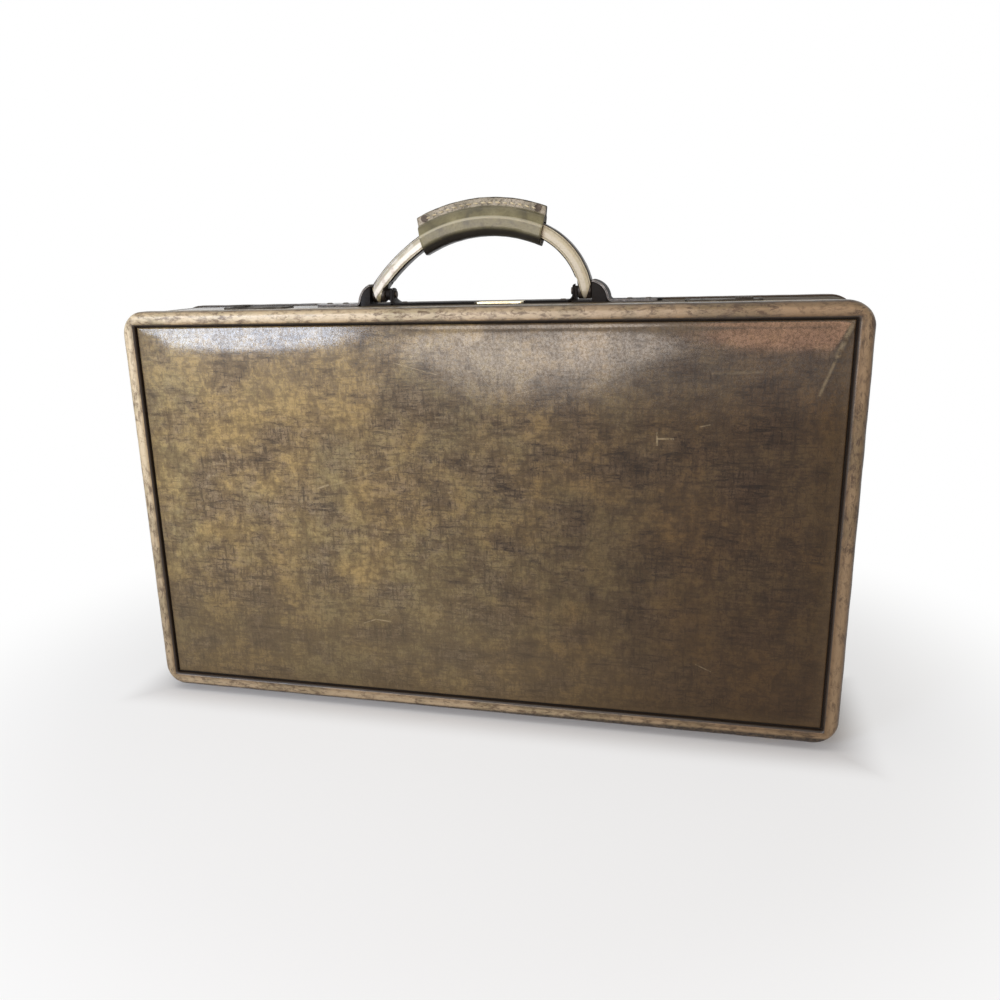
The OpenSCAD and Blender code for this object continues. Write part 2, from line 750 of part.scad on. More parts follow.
// Handle mount: a leather strap folded up into two cheeks that hold the pin
module handle_mount_shape(s) {
    round_x = mount_x1 - mount_w / 2;
    difference() {
        union() {
            slab_y(base_mid_y, mount_w) mount_profile(s);
            slab_y(base_mid_y, cheek_w) mount_cheek_profile(s);
            rod_x(cheek_x, mount_gap0, base_mid_y, pivot_z, cheek_w / 2);
        }
        rod_x(0, pin_end_x + 0.5, base_mid_y, pivot_z, pivot_pin_r + seat_gap / 2);
        for (e = [-1, 1]) difference() {
            box([round_x, base_mid_y + min(0, e * mount_w), wall_top_z - 1],
                [mount_x1 + 1, base_mid_y + max(0, e * mount_w), wall_top_z + strap_t + 1]);
            translate([round_x, base_mid_y, 0]) cylinder(h = 2 * case_h, r = mount_w / 2);
        }
        mount_rivet_places() translate([0, 0, -1]) cylinder(h = 2 * mount_rivet_l, r = rivet_r + seat_gap);
    }
}

// Places of the rivets that hold the right mount to the wall
module mount_rivet_places() {
    for (x = [cheek_x - 2 * flare_r, mount_x1 - mount_w / 2, mount_x1 - mount_w - 3])
        translate([x, base_mid_y, wall_top_z]) children();
}

// Stay geometry: both pivots lie as far from the hinge axis, so a bar turns half as fast as the lid
stay_z = hinge_z + sqrt(stay_r * stay_r - stay_offset * stay_offset);
stay_start = asin(stay_offset / stay_r);
stay_reach = 2 * stay_r * sin(stay_start + lid_open / 2);
stay_x = case_w / 2 - corner_r;
bracket_x = case_w / 2 - inner_in - max(leaf_t, lining_t + seat_gap);
stay_lid_y = part_y - stay_offset;
stay_base_y = part_y + stay_offset;
bracket_t = 1;
bracket_w = 8;
bracket_l = 12;
stay_side_gap = 0.2;
post_grow = 1;
head_grow = 1.2;
head_l = 1;

// Slotted bar of the right stay, lid closed
module stay_shape() {
    difference() {
        hull_bar(stay_lid_y, stay_lid_y + stay_reach, stay_w / 2, stay_x - stay_t / 2, stay_t);
        rod_x(stay_x - 5, stay_x + 5, stay_lid_y, stay_z, stay_pivot_r + running_gap);
        hull_bar(stay_base_y, stay_lid_y + stay_reach, stay_pivot_r + running_gap * 3, stay_x - 5, 10);
    }
}

// Bar with round ends along Y
module hull_bar(y0, y1, r, x0, t) {
    rod_x(x0, x0 + t, y0, stay_z, r);
    rod_x(x0, x0 + t, y1, stay_z, r);
    box([x0, y0, stay_z - r], [x0 + t, y1, stay_z + r]);
}

// Bracket of a stay: a plate on the wall, a post, and a head inside the bar
module stay_bracket(y) {
    x0 = stay_x - stay_t / 2 - stay_side_gap;
    x1 = stay_x + stay_t / 2 + stay_side_gap;
    box([bracket_x - bracket_t, y - bracket_w / 2, stay_z - bracket_l / 2],
        [bracket_x, y + bracket_w / 2, stay_z + bracket_l / 2]);
    rod_x(x1, bracket_x - bracket_t + eps, y, stay_z, stay_pivot_r + post_grow);
    rod_x(x0, x1 + eps, y, stay_z, stay_pivot_r);
    rod_x(x0 - head_l, x0 + eps, y, stay_z, stay_pivot_r + head_grow);
}

// Feet: domed studs with a shank in the wood
module feet_at(y) {
    for (s = [-1, 1]) translate([s * foot_x, y, 0]) {
        intersection() {
            cylinder(h = wall_bottom_z, r = foot_r);
            translate([0, 0, foot_r * 1.25]) sphere(foot_r * 1.4, $fn = 64);
        }
        cylinder(h = wall_bottom_z + skin_t + rivet_bite, r = rivet_r);
    }
}

// Bores for the feet's shanks
module feet_bores(y) {
    for (s = [-1, 1]) translate([s * foot_x, y, wall_bottom_z - 1])
        cylinder(h = 1 + skin_t + rivet_bite + 2 * seat_gap, r = rivet_r + seat_gap);
}

feet_lid_y = front_y + binding_depth + foot_r + 1;
feet_base_y = back_y - binding_depth - foot_r - 1;

// Lid pieces
module lid_panel() { color([0.42, 0.31, 0.14]) panel_shape(); }
module lid_binding() { color([0.62, 0.53, 0.34]) binding_shape(); }
module lid_board() { color([0.55, 0.42, 0.28]) board_shape(); }
module lid_walls() {
    color([0.72, 0.58, 0.38]) difference() {
        walls_shape(front_y + binding_face_t, part_y - edge_cap);
        feet_bores(feet_lid_y);
        leaf_rivet_bores(-1);
        for (s = [-1, 1]) on_side(s) staple_seat();
    }
}
module lid_skin() {
    color([0.38, 0.30, 0.17]) difference() {
        skin_shape(front_y + binding_face_t, part_y - edge_cap);
        feet_bores(feet_lid_y);
    }
}
module lid_lining() { color([0.45, 0.33, 0.22]) lining_shape(part_y - flange_w - rim_clear); }
pocket_lift = 10;
module lid_pocket() {
    w = case_w / 2 - pocket_margin;
    y0 = front_y + face_in_y;
    z0 = foot_h + flange_in + pocket_lift;
    y1 = y0 + pocket_room;
    color([0.40, 0.28, 0.15]) {
        box([-w, y1, z0], [w, y1 + pocket_t, z0 + pocket_h]);
        for (s = [-1, 1])
            on_side(s) box([w - pocket_t, y0, z0], [w, y1 + eps, z0 + pocket_h]);
        box([-w, y0, z0], [w, y1 + eps, z0 + pocket_t]);
    }
}
module lid_rim() {
    color([0.70, 0.64, 0.48]) difference() {
        union() {
            difference() {
                wall_ring(skin_in, tongue_in + tongue_t, part_y - edge_cap, part_y - parting_gap);
                leaf_zone();
            }
            difference() {
                wall_ring(inner_in, flange_in, part_y - flange_w, part_y - edge_cap + eps);
                leaf_zone();
            }
            intersection() {
                wall_ring(tongue_in, tongue_in + tongue_t, part_y - edge_cap, part_y + tongue_reach);
                rim_zone(stay_z + stay_clear);
            }
        }
        box([-case_w, part_y - 2, 0], [case_w, part_y + 2, wall_bottom_z - eps]);
        rim_stay_room();
        for (s = [-1, 1]) on_side(s) staple_seat();
    }
}

// The lower part of the lid's rim ends at the flange, clear of the stays
module rim_stay_room() {
    intersection() {
        wall_ring(flange_in, tongue_in + tongue_t + 1, part_y - edge_cap - 1, part_y + 1);
        box([-case_w, -case_w, 0], [case_w, case_w, stay_z + stay_clear]);
    }
}
module hinge_leaf_lid() { color([0.72, 0.66, 0.50]) leaf_shape(0, -1); }
module hinge_rivets_lid() { color([0.75, 0.70, 0.55]) leaf_rivets(-1); }
module lock_staple_left() { color([0.66, 0.63, 0.58]) on_side(-1) lock_staple_shape(); }
module lock_staple_right() { color([0.66, 0.63, 0.58]) lock_staple_shape(); }
module feet_lid() { color([0.60, 0.52, 0.35]) feet_at(feet_lid_y); }
module stay_brackets_lid() {
    color([0.70, 0.64, 0.48]) for (s = [-1, 1]) on_side(s) stay_bracket(stay_lid_y);
}

// Base pieces
module base_panel() { color([0.42, 0.31, 0.14]) at_back() panel_shape(); }
module base_binding() { color([0.62, 0.53, 0.34]) at_back() binding_shape(); }
module base_board() { color([0.55, 0.42, 0.28]) at_back() board_shape(); }
module base_walls() {
    color([0.72, 0.58, 0.38]) difference() {
        walls_shape(part_y + edge_cap, back_y - binding_face_t);
        feet_bores(feet_base_y);
        leaf_rivet_bores(1);
        for (s = [-1, 1]) on_side(s) {
            lock_room(seat_gap);
            top_rivet_bores();
        }
        plate_pins(seat_gap);
    }
}
module base_skin() {
    color([0.38, 0.30, 0.17]) difference() {
        skin_shape(part_y + edge_cap, back_y - binding_face_t);
        feet_bores(feet_base_y);
        for (s = [-1, 1]) on_side(s) {
            lock_room(seat_gap);
            top_rivet_bores();
        }
        plate_pins(seat_gap);
    }
}

// Bores in the top wall for the pins of the locks and the rivets of the mounts
module top_rivet_bores() {
    lock_pin_places() translate([0, 0, -lock_pin_l - seat_gap])
        cylinder(h = lock_pin_l + 2, r = lock_pin_r + seat_gap);
    mount_rivet_places() translate([0, 0, -mount_rivet_l - seat_gap])
        cylinder(h = mount_rivet_l + 2, r = rivet_r + seat_gap);
}
module base_lining() { color([0.45, 0.33, 0.22]) at_back() lining_shape(-part_y - flange_w - rim_clear); }
module base_rim() {
    color([0.70, 0.64, 0.48]) difference() {
        union() {
            difference() {
                wall_ring(skin_in, flange_in, part_y + parting_gap, part_y + edge_cap);
                leaf_zone();
            }
            difference() {
                wall_ring(inner_in, flange_in, part_y + edge_cap - eps, part_y + flange_w);
                leaf_zone();
            }
        }
        for (s = [-1, 1]) on_side(s) staple_room();
    }
}
module hinge_leaf_base() { color([0.72, 0.66, 0.50]) leaf_shape(1, 1); }
module hinge_rivets_base() { color([0.75, 0.70, 0.55]) leaf_rivets(1); }
module hinge_pin() {
    color([0.62, 0.60, 0.56]) rod_x(-hinge_len / 2, hinge_len / 2, part_y, hinge_z, hinge_pin_r);
}
module lock_plate_left() { color([0.74, 0.62, 0.36]) on_side(-1) lock_plate_shape(); }
module lock_plate_right() { color([0.74, 0.62, 0.36]) lock_plate_shape(); }
module lock_case_left() { color([0.52, 0.52, 0.52]) on_side(-1) lock_case_shape(); }
module lock_case_right() { color([0.52, 0.52, 0.52]) lock_case_shape(); }
module lock_rivets() {
    color([0.78, 0.66, 0.40]) for (s = [-1, 1]) on_side(s) lock_pin_places() {
        translate([0, 0, -lock_pin_l]) cylinder(h = lock_pin_l + lock_plate_t + eps, r = lock_pin_r);
        translate([0, 0, lock_plate_t]) cylinder(h = 0.3, r1 = 1.5, r2 = 1.1);
    }
}
module lock_bolt_left() { color([0.78, 0.66, 0.40]) on_side(-1) lock_bolt_shape(); }
module lock_bolt_right() { color([0.78, 0.66, 0.40]) lock_bolt_shape(); }

// Two pins under the blank plate, made bigger all round by grow
module plate_pins(grow) {
    for (s = [-1, 1]) translate([plate_x + s * (plate_l / 2 - 5), base_mid_y, wall_top_z - lock_pin_l - grow])
        cylinder(h = lock_pin_l + 2 * grow + eps, r = lock_pin_r + grow);
}
module blank_plate() {
    color([0.86, 0.78, 0.55]) {
        translate([plate_x, base_mid_y, wall_top_z]) rounded_plate(plate_l, plate_w, 2, plate_t);
        plate_pins(0);
    }
}
module handle_mount_left() { color([0.26, 0.22, 0.16]) on_side(-1) handle_mount_shape(-1); }
module handle_mount_right() { color([0.26, 0.22, 0.16]) handle_mount_shape(1); }
module mount_rivets() {
    color([0.55, 0.50, 0.40]) for (s = [-1, 1]) on_side(s) mount_rivet_places() {
        translate([0, 0, -mount_rivet_l]) cylinder(h = mount_rivet_l + strap_t + eps, r = rivet_r);
        translate([0, 0, strap_t]) cylinder(h = mount_head_h, r1 = 2 * rivet_r, r2 = 1.2 * rivet_r);
    }
}
module handle_pins() {
    color([0.60, 0.60, 0.60]) for (s = [-1, 1]) on_side(s) {
        rod_x(cheek_x - pin_head_l / 2, pin_end_x, base_mid_y, pivot_z, pivot_pin_r);
        rod_x(cheek_x - pin_head_l, cheek_x, base_mid_y, pivot_z, pin_head_r);
    }
}

// Handle pieces
module handle_core() { color([0.55, 0.47, 0.33]) handle_core_shape(); }
module handle_grip() { color([0.40, 0.34, 0.20]) handle_grip_shape(); }
module handle_bushes() {
    color([0.72, 0.60, 0.36]) for (s = [-1, 1]) difference() {
        eye_bar(s, bush_r);
        rod_x(eye_at(s) - eye_w, eye_at(s) + eye_w, base_mid_y, pivot_z, pivot_pin_r + running_gap);
    }
}
module grip_rivets() {
    color([0.30, 0.27, 0.24]) grip_rivet_places() {
        translate([0, 0, -fin_t / 2 - 0.6]) cylinder(h = fin_t + 1.2, r = grip_rivet_r);
        for (s = [-1, 1]) translate([0, 0, s * (fin_t / 2 + 0.35) - 0.3])
            cylinder(h = 0.6, r = grip_rivet_r + 0.8);
    }
}

// Stays, feet and brackets
module stay_left() { color([0.72, 0.66, 0.50]) on_side(-1) stay_shape(); }
module stay_right() { color([0.72, 0.66, 0.50]) stay_shape(); }
module feet_base() { color([0.60, 0.52, 0.35]) feet_at(feet_base_y); }
module stay_brackets_base() {
    color([0.70, 0.64, 0.48]) for (s = [-1, 1]) on_side(s) stay_bracket(stay_base_y);
}

lid_panel();
lid_binding();
lid_board();
lid_walls();
lid_skin();
lid_lining();
lid_pocket();
lid_rim();
hinge_leaf_lid();
hinge_rivets_lid();
lock_staple_left();
lock_staple_right();
feet_lid();
stay_brackets_lid();
base_panel();
base_binding();
base_board();
base_walls();
base_skin();
base_lining();
base_rim();
hinge_leaf_base();
hinge_pin();
hinge_rivets_base();
lock_plate_left();
lock_plate_right();
lock_case_left();
lock_case_right();
lock_rivets();
lock_bolt_left();
lock_bolt_right();
blank_plate();
handle_mount_left();
handle_mount_right();
mount_rivets();
handle_pins();
handle_core();
handle_grip();
handle_bushes();
grip_rivets();
stay_left();
stay_right();
feet_base();
stay_brackets_base();
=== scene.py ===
"""Looks of a hard-sided leather attache case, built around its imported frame.

X runs along the width, +Y from the lid to the back, +Z up, in metres. The lid's face looks along -Y.
"""

import logging
import math
from dataclasses import dataclass
from enum import Enum
from functools import cached_property
from typing import Any, Callable, Optional, Sequence

import bmesh
import bpy
from mathutils import Matrix, Vector, noise


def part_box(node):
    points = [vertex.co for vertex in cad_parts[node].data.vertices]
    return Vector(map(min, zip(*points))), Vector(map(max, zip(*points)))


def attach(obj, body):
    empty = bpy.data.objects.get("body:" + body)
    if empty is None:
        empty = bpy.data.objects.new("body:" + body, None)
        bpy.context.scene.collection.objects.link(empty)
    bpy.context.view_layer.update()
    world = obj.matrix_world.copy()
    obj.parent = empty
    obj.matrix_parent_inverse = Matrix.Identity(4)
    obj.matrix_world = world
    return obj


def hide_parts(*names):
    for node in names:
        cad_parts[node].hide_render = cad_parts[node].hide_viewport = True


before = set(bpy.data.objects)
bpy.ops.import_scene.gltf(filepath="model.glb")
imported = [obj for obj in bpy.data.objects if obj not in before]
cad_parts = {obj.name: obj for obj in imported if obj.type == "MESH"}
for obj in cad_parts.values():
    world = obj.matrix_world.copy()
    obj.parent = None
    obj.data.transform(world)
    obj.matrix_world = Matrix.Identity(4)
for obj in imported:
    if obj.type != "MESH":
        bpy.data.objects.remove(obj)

LOG = logging.getLogger("attache_case")
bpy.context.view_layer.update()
MM = 0.001
FILLET_LIMIT = 0.48  # greatest share of a side that a fillet takes

Colour = tuple[float, float, float, float]
Triple = tuple[float, float, float]
Spot = tuple[float, float]
Outline = list[Spot]
Ring = Sequence[Vector]
Material = bpy.types.Material
Mesh = bmesh.types.BMesh
Piece = bpy.types.Object
Sockets = dict[Any, Any]

WHITE: Colour = (1.0, 1.0, 1.0, 1.0)
PANEL_INSET = 0.0102  # from the outside of the case to the face leather
HALF_HEIGHT = 0.132  # of the case over its leather
FOLD_INSET = 0.0004  # from the face leather's corner to the start of its fold
FOLD_END = (0.2024, 0.0810)  # where the fold ends, from the face's middle
WALL_SHINE = (-0.05, -0.13, 0.258, 0.265)  # where the wall's polish starts and is full, along X and Z
MOUNT_SHINE = (-0.074, -0.098, 0.258, 0.265)  # the same for the left mount


class Part(Enum):
    """One of two parts of the case, whose name its nodes carry in small letters."""

    @property
    def title(self) -> str:
        """The part's name in the names of nodes."""
        return self.name.lower()


class Half(Part):
    """The two halves of the case, with the side of the case on which their faces lie."""

    LID = -1
    BASE = 1


class Side(Part):
    """Left and right of the case, as the sign of X."""

    LEFT = -1
    RIGHT = 1


class Slot(Enum):
    """Names of material slots, one passed with each of the script's own pieces."""

    PANEL = "panel_leather"
    BINDING = "binding_leather"
    MOUNT = "mount_leather"
    HANDLE = "handle_leather"
    GRIP = "grip_leather"


def tone(red: float, green: float, blue: float) -> Colour:
    """Turn an eight-bit display tone into the linear colour that a shader takes.

    Args:
        red: Red, from 0 to 255.
        green: Green, from 0 to 255.
        blue: Blue, from 0 to 255.

    Returns:
        The linear colour, opaque.
    """
    shares = [value / 255 for value in (red, green, blue)]
    linear = [share / 12.92 if share <= 0.04045 else ((share + 0.055) / 1.055) ** 2.4 for share in shares]
    return (linear[0], linear[1], linear[2], 1.0)


class Wire:
    """A shader socket on which Python arithmetic adds Math nodes."""

    def __init__(self, graph: "Graph", socket: bpy.types.NodeSocket) -> None:
        """Keep the socket and the graph that it belongs to."""
        self.graph = graph
        self.socket = socket

    def _math(self, operation: str, *values: Any) -> "Wire":
        """Add one Math node on these values."""
        return self.graph.add("Math", dict(enumerate(values)), operation=operation)

    def __add__(self, other: Any) -> "Wire":
        """Add."""
        return self._math("ADD", self, other)

    __radd__ = __add__

    def __sub__(self, other: Any) -> "Wire":
        """Subtract."""
        return self._math("SUBTRACT", self, other)

    def __rsub__(self, other: Any) -> "Wire":
        """Subtract this from a number."""
        return self._math("SUBTRACT", other, self)

    def __mul__(self, other: Any) -> "Wire":
        """Multiply."""
        return self._math("MULTIPLY", self, other)

    __rmul__ = __mul__

    def __abs__(self) -> "Wire":
        """Take the absolute value."""
        return self._math("ABSOLUTE", self)

    def sine(self) -> "Wire":
        """Take the sine."""
        return self._math("SINE", self)

    def most(self, other: Any) -> "Wire":
        """Take the greater of this and another value."""
        return self._math("MAXIMUM", self, other)

    def least(self, other: Any) -> "Wire":
        """Take the lesser of this and another value."""
        return self._math("MINIMUM", self, other)

    def rise(self, low: float, high: float) -> "Wire":
        """Rise smoothly from 0 at low to 1 at high, or fall where low is the greater.

        Args:
            low: Value at which the result is 0.
            high: Value at which the result is 1.

        Returns:
            The smooth step.
        """
        inputs = {"Value": self, "From Min": low, "From Max": high}
        if low > high:
            inputs.update({"From Min": high, "From Max": low, "To Min": 1.0, "To Max": 0.0})
        return self.graph.add("MapRange", inputs, interpolation_type="SMOOTHSTEP")


class Graph:
    """The node tree of a material or the world, with the few calls that the finishes are written in."""

    def __init__(self, owner: Material | bpy.types.World) -> None:
        """Empty the owner's node tree."""
        self.owner = owner
        owner.use_nodes = True
        self.tree = owner.node_tree
        self.tree.nodes.clear()

    def node(self, kind: str, inputs: Sockets, settings: dict[str, Any]) -> bpy.types.Node:
        """Add a node, with its settings first and then the values or links of its sockets.

        Args:
            kind: Type of the node, without its prefix.
            inputs: Values or wires, by socket name or number.
            settings: Properties of the node.

        Returns:
            The node.
        """
        node = self.tree.nodes.new("ShaderNode" + kind)
        for name, value in settings.items():
            setattr(node, name, value)
        for name, value in inputs.items():
            if isinstance(value, Wire):
                self.tree.links.new(value.socket, node.inputs[name])
            else:
                node.inputs[name].default_value = value
        return node

    def add(self, kind: str, inputs: Optional[Sockets] = None, output: Any = 0, **settings: Any) -> Wire:
        """Add a node and take one of its outputs, by its name or number."""
        return Wire(self, self.node(kind, inputs or {}, settings).outputs[output])

    @cached_property
    def place(self) -> Wire:
        """The place on the object, in metres."""
        return self.add("TexCoord", output="Object")

    def axes(self) -> tuple[Wire, Wire, Wire]:
        """Split the place into its X, Y and Z."""
        outputs = self.node("SeparateXYZ", {0: self.place}, {}).outputs
        return Wire(self, outputs[0]), Wire(self, outputs[1]), Wire(self, outputs[2])

    def noise(
        self,
        scale: float,
        detail: float,
        roughness: float,
        distortion: float = 0.0,
        stretch: Optional[Triple] = None,
        shift: Triple = (0.0, 0.0, 0.0),
        turn: Triple = (0.0, 0.0, 0.0),
    ) -> Wire:
        """Give soft noise on the object.

        Args:
            scale: Number of features to a metre.
            detail: Number of finer noises on it.
            roughness: Strength of the finer noises.
            distortion: How far the noise is stirred.
            stretch: Scale of the place along each axis.
            shift: Shift of a stretched place.
            turn: Turn of a stretched place, in radians.

        Returns:
            The noise, about 0.5.
        """
        place = self.place
        if stretch is not None:
            mapping = {"Vector": place, "Scale": stretch, "Location": shift, "Rotation": turn}
            place = self.add("Mapping", mapping)
        inputs = {"Vector": place, "Scale": scale, "Detail": detail}
        inputs |= {"Roughness": roughness, "Distortion": distortion}
        return self.add("TexNoise", inputs)

    def pores(self, scale: float) -> Wire:
        """Give the distance in a smooth pattern of cells, with this many to a metre."""
        inputs = {"Vector": self.place, "Scale": scale, "Smoothness": 0.4}
        return self.add("TexVoronoi", inputs, "Distance", feature="SMOOTH_F1")

    def mix(self, share: Any, low: Any, high: Any, mode: str = "MIX") -> Wire:
        """Mix a share of a second colour into a first one."""
        settings = {"data_type": "RGBA", "blend_type": mode, "clamp_factor": True}
        return self.add("Mix", {0: share, 6: low, 7: high}, 2, **settings)

    def paint(self, ground: Any, *layers: tuple[Any, Any]) -> Any:
        """Lay tones over a ground, from the bottom up.

        Args:
            ground: Colour to start from.
            layers: Mask and tone of each layer.

        Returns:
            The colour on top.
        """
        for share, over in layers:
            ground = self.mix(share, ground, over)
        return ground

    def bump(self, height: Wire, depth: float, **normal: Wire) -> Wire:
        """Raise a surface by a height of 0 to 1, times a depth in metres."""
        return self.add("Bump", {"Height": height, "Distance": depth, "Strength": 1.0, **normal})

    def vector(
        self, operation: str, first: Any, second: Any = (0.0, 0.0, 0.0), output: str = "Vector"
    ) -> Wire:
        """Add one Vector Math node on two values."""
        return self.add("VectorMath", {0: first, 1: second}, output, operation=operation)

    def spoke(self, spot: Spot) -> Wire:
        """Give the way in the X-Z plane to the place, from a spot given as X and Z."""
        flat = self.vector("MULTIPLY", self.place, (1.0, 0.0, 1.0))
        return self.vector("SUBTRACT", flat, (spot[0], 0.0, spot[1]))

    def away(self, spot: Spot) -> Wire:
        """Give the distance in the X-Z plane from a spot given as X and Z."""
        return self.vector("LENGTH", self.spoke(spot), output="Value")

    def score(self, start: Spot, end: Spot, width: float) -> Wire:
        """Draw a straight score on a face in the X-Z plane.

        Args:
            start: X and Z of one end.
            end: X and Z of the other end.
            width: Half width of the score.

        Returns:
            A mask, 1 along the score and 0 away from it.
        """
        run_x, run_z = end[0] - start[0], end[1] - start[1]
        length = math.hypot(run_x, run_z)
        along = (run_x / length, 0.0, run_z / length)
        spoke = self.spoke(start)
        held = self.vector("DOT_PRODUCT", spoke, along, "Value").most(0.0).least(length)
        nearest = self.add("VectorMath", {0: along, "Scale": held}, operation="SCALE")
        gap = self.vector("SUBTRACT", spoke, nearest)
        return self.vector("LENGTH", gap, output="Value").rise(width, 0.0)

    def seen(self) -> Wire:
        """Mark the rays that show the background: the camera's, the reflected and the refracted ones."""
        camera, glossy, through = (
            self.add("LightPath", output=f"Is {ray} Ray") for ray in ("Camera", "Glossy", "Transmission")
        )
        return camera.most(glossy).most(through)

    def end(self, kind: str, shader: Wire) -> None:
        """End the tree in an output node."""
        self.node(kind, {"Surface": shader}, {})

    def dress(self, **sockets: Any) -> Material:
        """End the material in a Principled shader.

        Args:
            sockets: Values or wires by socket name, with underscores for spaces.

        Returns:
            The finished material.
        """
        inputs = {name.replace("_", " "): value for name, value in sockets.items()}
        self.end("OutputMaterial", self.add("BsdfPrincipled", inputs))
        return self.owner


@dataclass(frozen=True)
class Finish:
    """A finish, which builds the material of its name."""

    name: str

    def start(self) -> Graph:
        """Start the material's graph."""
        return Graph(bpy.data.materials.new(self.name))


@dataclass(frozen=True)
class PaleStreak:
    """A pale straight streak on a face, between two places given as X and Z in metres; most are scrapes, one
    pair is a painted highlight along a fold.
    """

    start: Spot
    end: Spot
    width: float = 0.0006
    strength: float = 0.5


@dataclass(frozen=True)
class PanelLeather(Finish):
    """Mottled olive-brown leather, polished by age, crazed and rubbed dark in patches, with painted shade
    towards the right and the bottom, a painted shadow at its very edge, and pale streaks: scrapes, and a
    painted highlight along a fold.
    """

    half_w: float
    half_h: float
    mid_z: float
    pale_streaks: tuple[PaleStreak, ...] = ()
    olive: Colour = tone(146, 131, 90)
    golden: Colour = tone(160, 137, 88)
    brown: Colour = tone(92, 76, 53)
    grey: Colour = tone(112, 98, 86)
    shadow: Colour = tone(48, 40, 33)
    # Painted shade: tone that the colour is multiplied by towards the right and the bottom.
    painted_shade_tone: Colour = tone(119, 101, 90)
    pale: Colour = tone(176, 160, 126)
    even: Colour = tone(118, 105, 80)
    # Painted shadow: near-black tone at the very edge, in the gap by the binding.
    gap_shadow: Colour = tone(16, 12, 9)

    def build(self) -> Material:
        """Build the material.

        Returns:
            The finished material.
        """
        graph = self.start()
        x, _, z = graph.axes()
        broad = graph.noise(13, 5, 0.62)
        patch = graph.noise(30, 8, 0.72, 0.2, (1, 1, 1.5))
        blot = graph.noise(62, 6, 0.72, 0.2, (1.4, 1, 1), (0.7, 0.0, 0.3))
        fine = graph.noise(230, 5, 0.74)
        grain = graph.noise(620, 4, 0.74)
        level = graph.noise(1, 7, 0.78, 0.3, (60, 1, 380))
        upright = graph.noise(1, 7, 0.78, 0.3, (380, 1, 60))
        rubbed = patch.rise(0.40, 0.64)
        threads = level.rise(0.48, 0.60).most(upright.rise(0.49, 0.61) * 0.9)
        hairs = level.rise(0.46, 0.32).most(upright.rise(0.44, 0.30))
        colour = graph.paint(
            self.olive,
            (broad.rise(0.40, 0.60), self.golden),
            (rubbed * 0.70, self.grey),
            (blot.rise(0.44, 0.60) * 0.60, self.brown),
            (threads * (0.36 + 0.50 * rubbed), self.shadow),
            (hairs * (0.22 + 0.25 * rubbed), self.pale),
            (fine.rise(0.46, 0.60) * 0.55, self.brown),
            (grain.rise(0.52, 0.66) * (0.30 + 0.45 * rubbed), self.shadow),
            (z.rise(0.13, 0.03) * 0.42, self.even),
        )
        # Painted shade: darker towards the right and the bottom, where the light falls off.
        shade_falloff = (x.rise(-0.17, 0.19) * 0.95).most(z.rise(0.15, 0.03) * 0.46)
        colour = graph.mix(shade_falloff, colour, self.painted_shade_tone, "MULTIPLY")
        rim = (self.half_w - abs(x)).least(self.half_h - abs(z - self.mid_z))
        colour = graph.mix(rim.rise(0.010, 0.0) * 0.30, colour, self.brown)
        top = self.mid_z + self.half_h
        polish = z.rise(top - 0.064, top - 0.018)
        scrapes_and_highlight: Any = 0.0
        # Pale streaks: scrapes, and a painted highlight along the fold at the upper right corner.
        for pale_streak in self.pale_streaks:
            mark = graph.score(pale_streak.start, pale_streak.end, pale_streak.width)
            scrapes_and_highlight = (mark * fine.rise(0.34, 0.60) * pale_streak.strength).most(scrapes_and_highlight)
        colour = graph.paint(
            colour,
            (scrapes_and_highlight, self.pale),
            # Painted shadow in the gap at the very edge.
            (rim.rise(0.0003, 0.0001), self.gap_shadow),
        )
        pores = graph.pores(1250)
        height = pores * 0.8 + fine * 0.9 + (1 - threads) * 0.25 - scrapes_and_highlight * 0.6
        swell = graph.bump(graph.noise(48, 3, 0.5), 0.0006)
        gloss = (0.10 + 0.90 * polish) * (0.48 + 0.52 * grain.rise(0.40, 0.60)) * (1 - 0.30 * rubbed)
        return graph.dress(
            Base_Color=colour,
            Roughness=0.38 + 0.14 * rubbed + 0.08 * threads + 0.2 * scrapes_and_highlight,
            Specular_IOR_Level=0.2,
            Coat_Weight=gloss,
            Coat_Roughness=0.13,
            Normal=graph.bump(height, 0.00014, Normal=swell),
        )


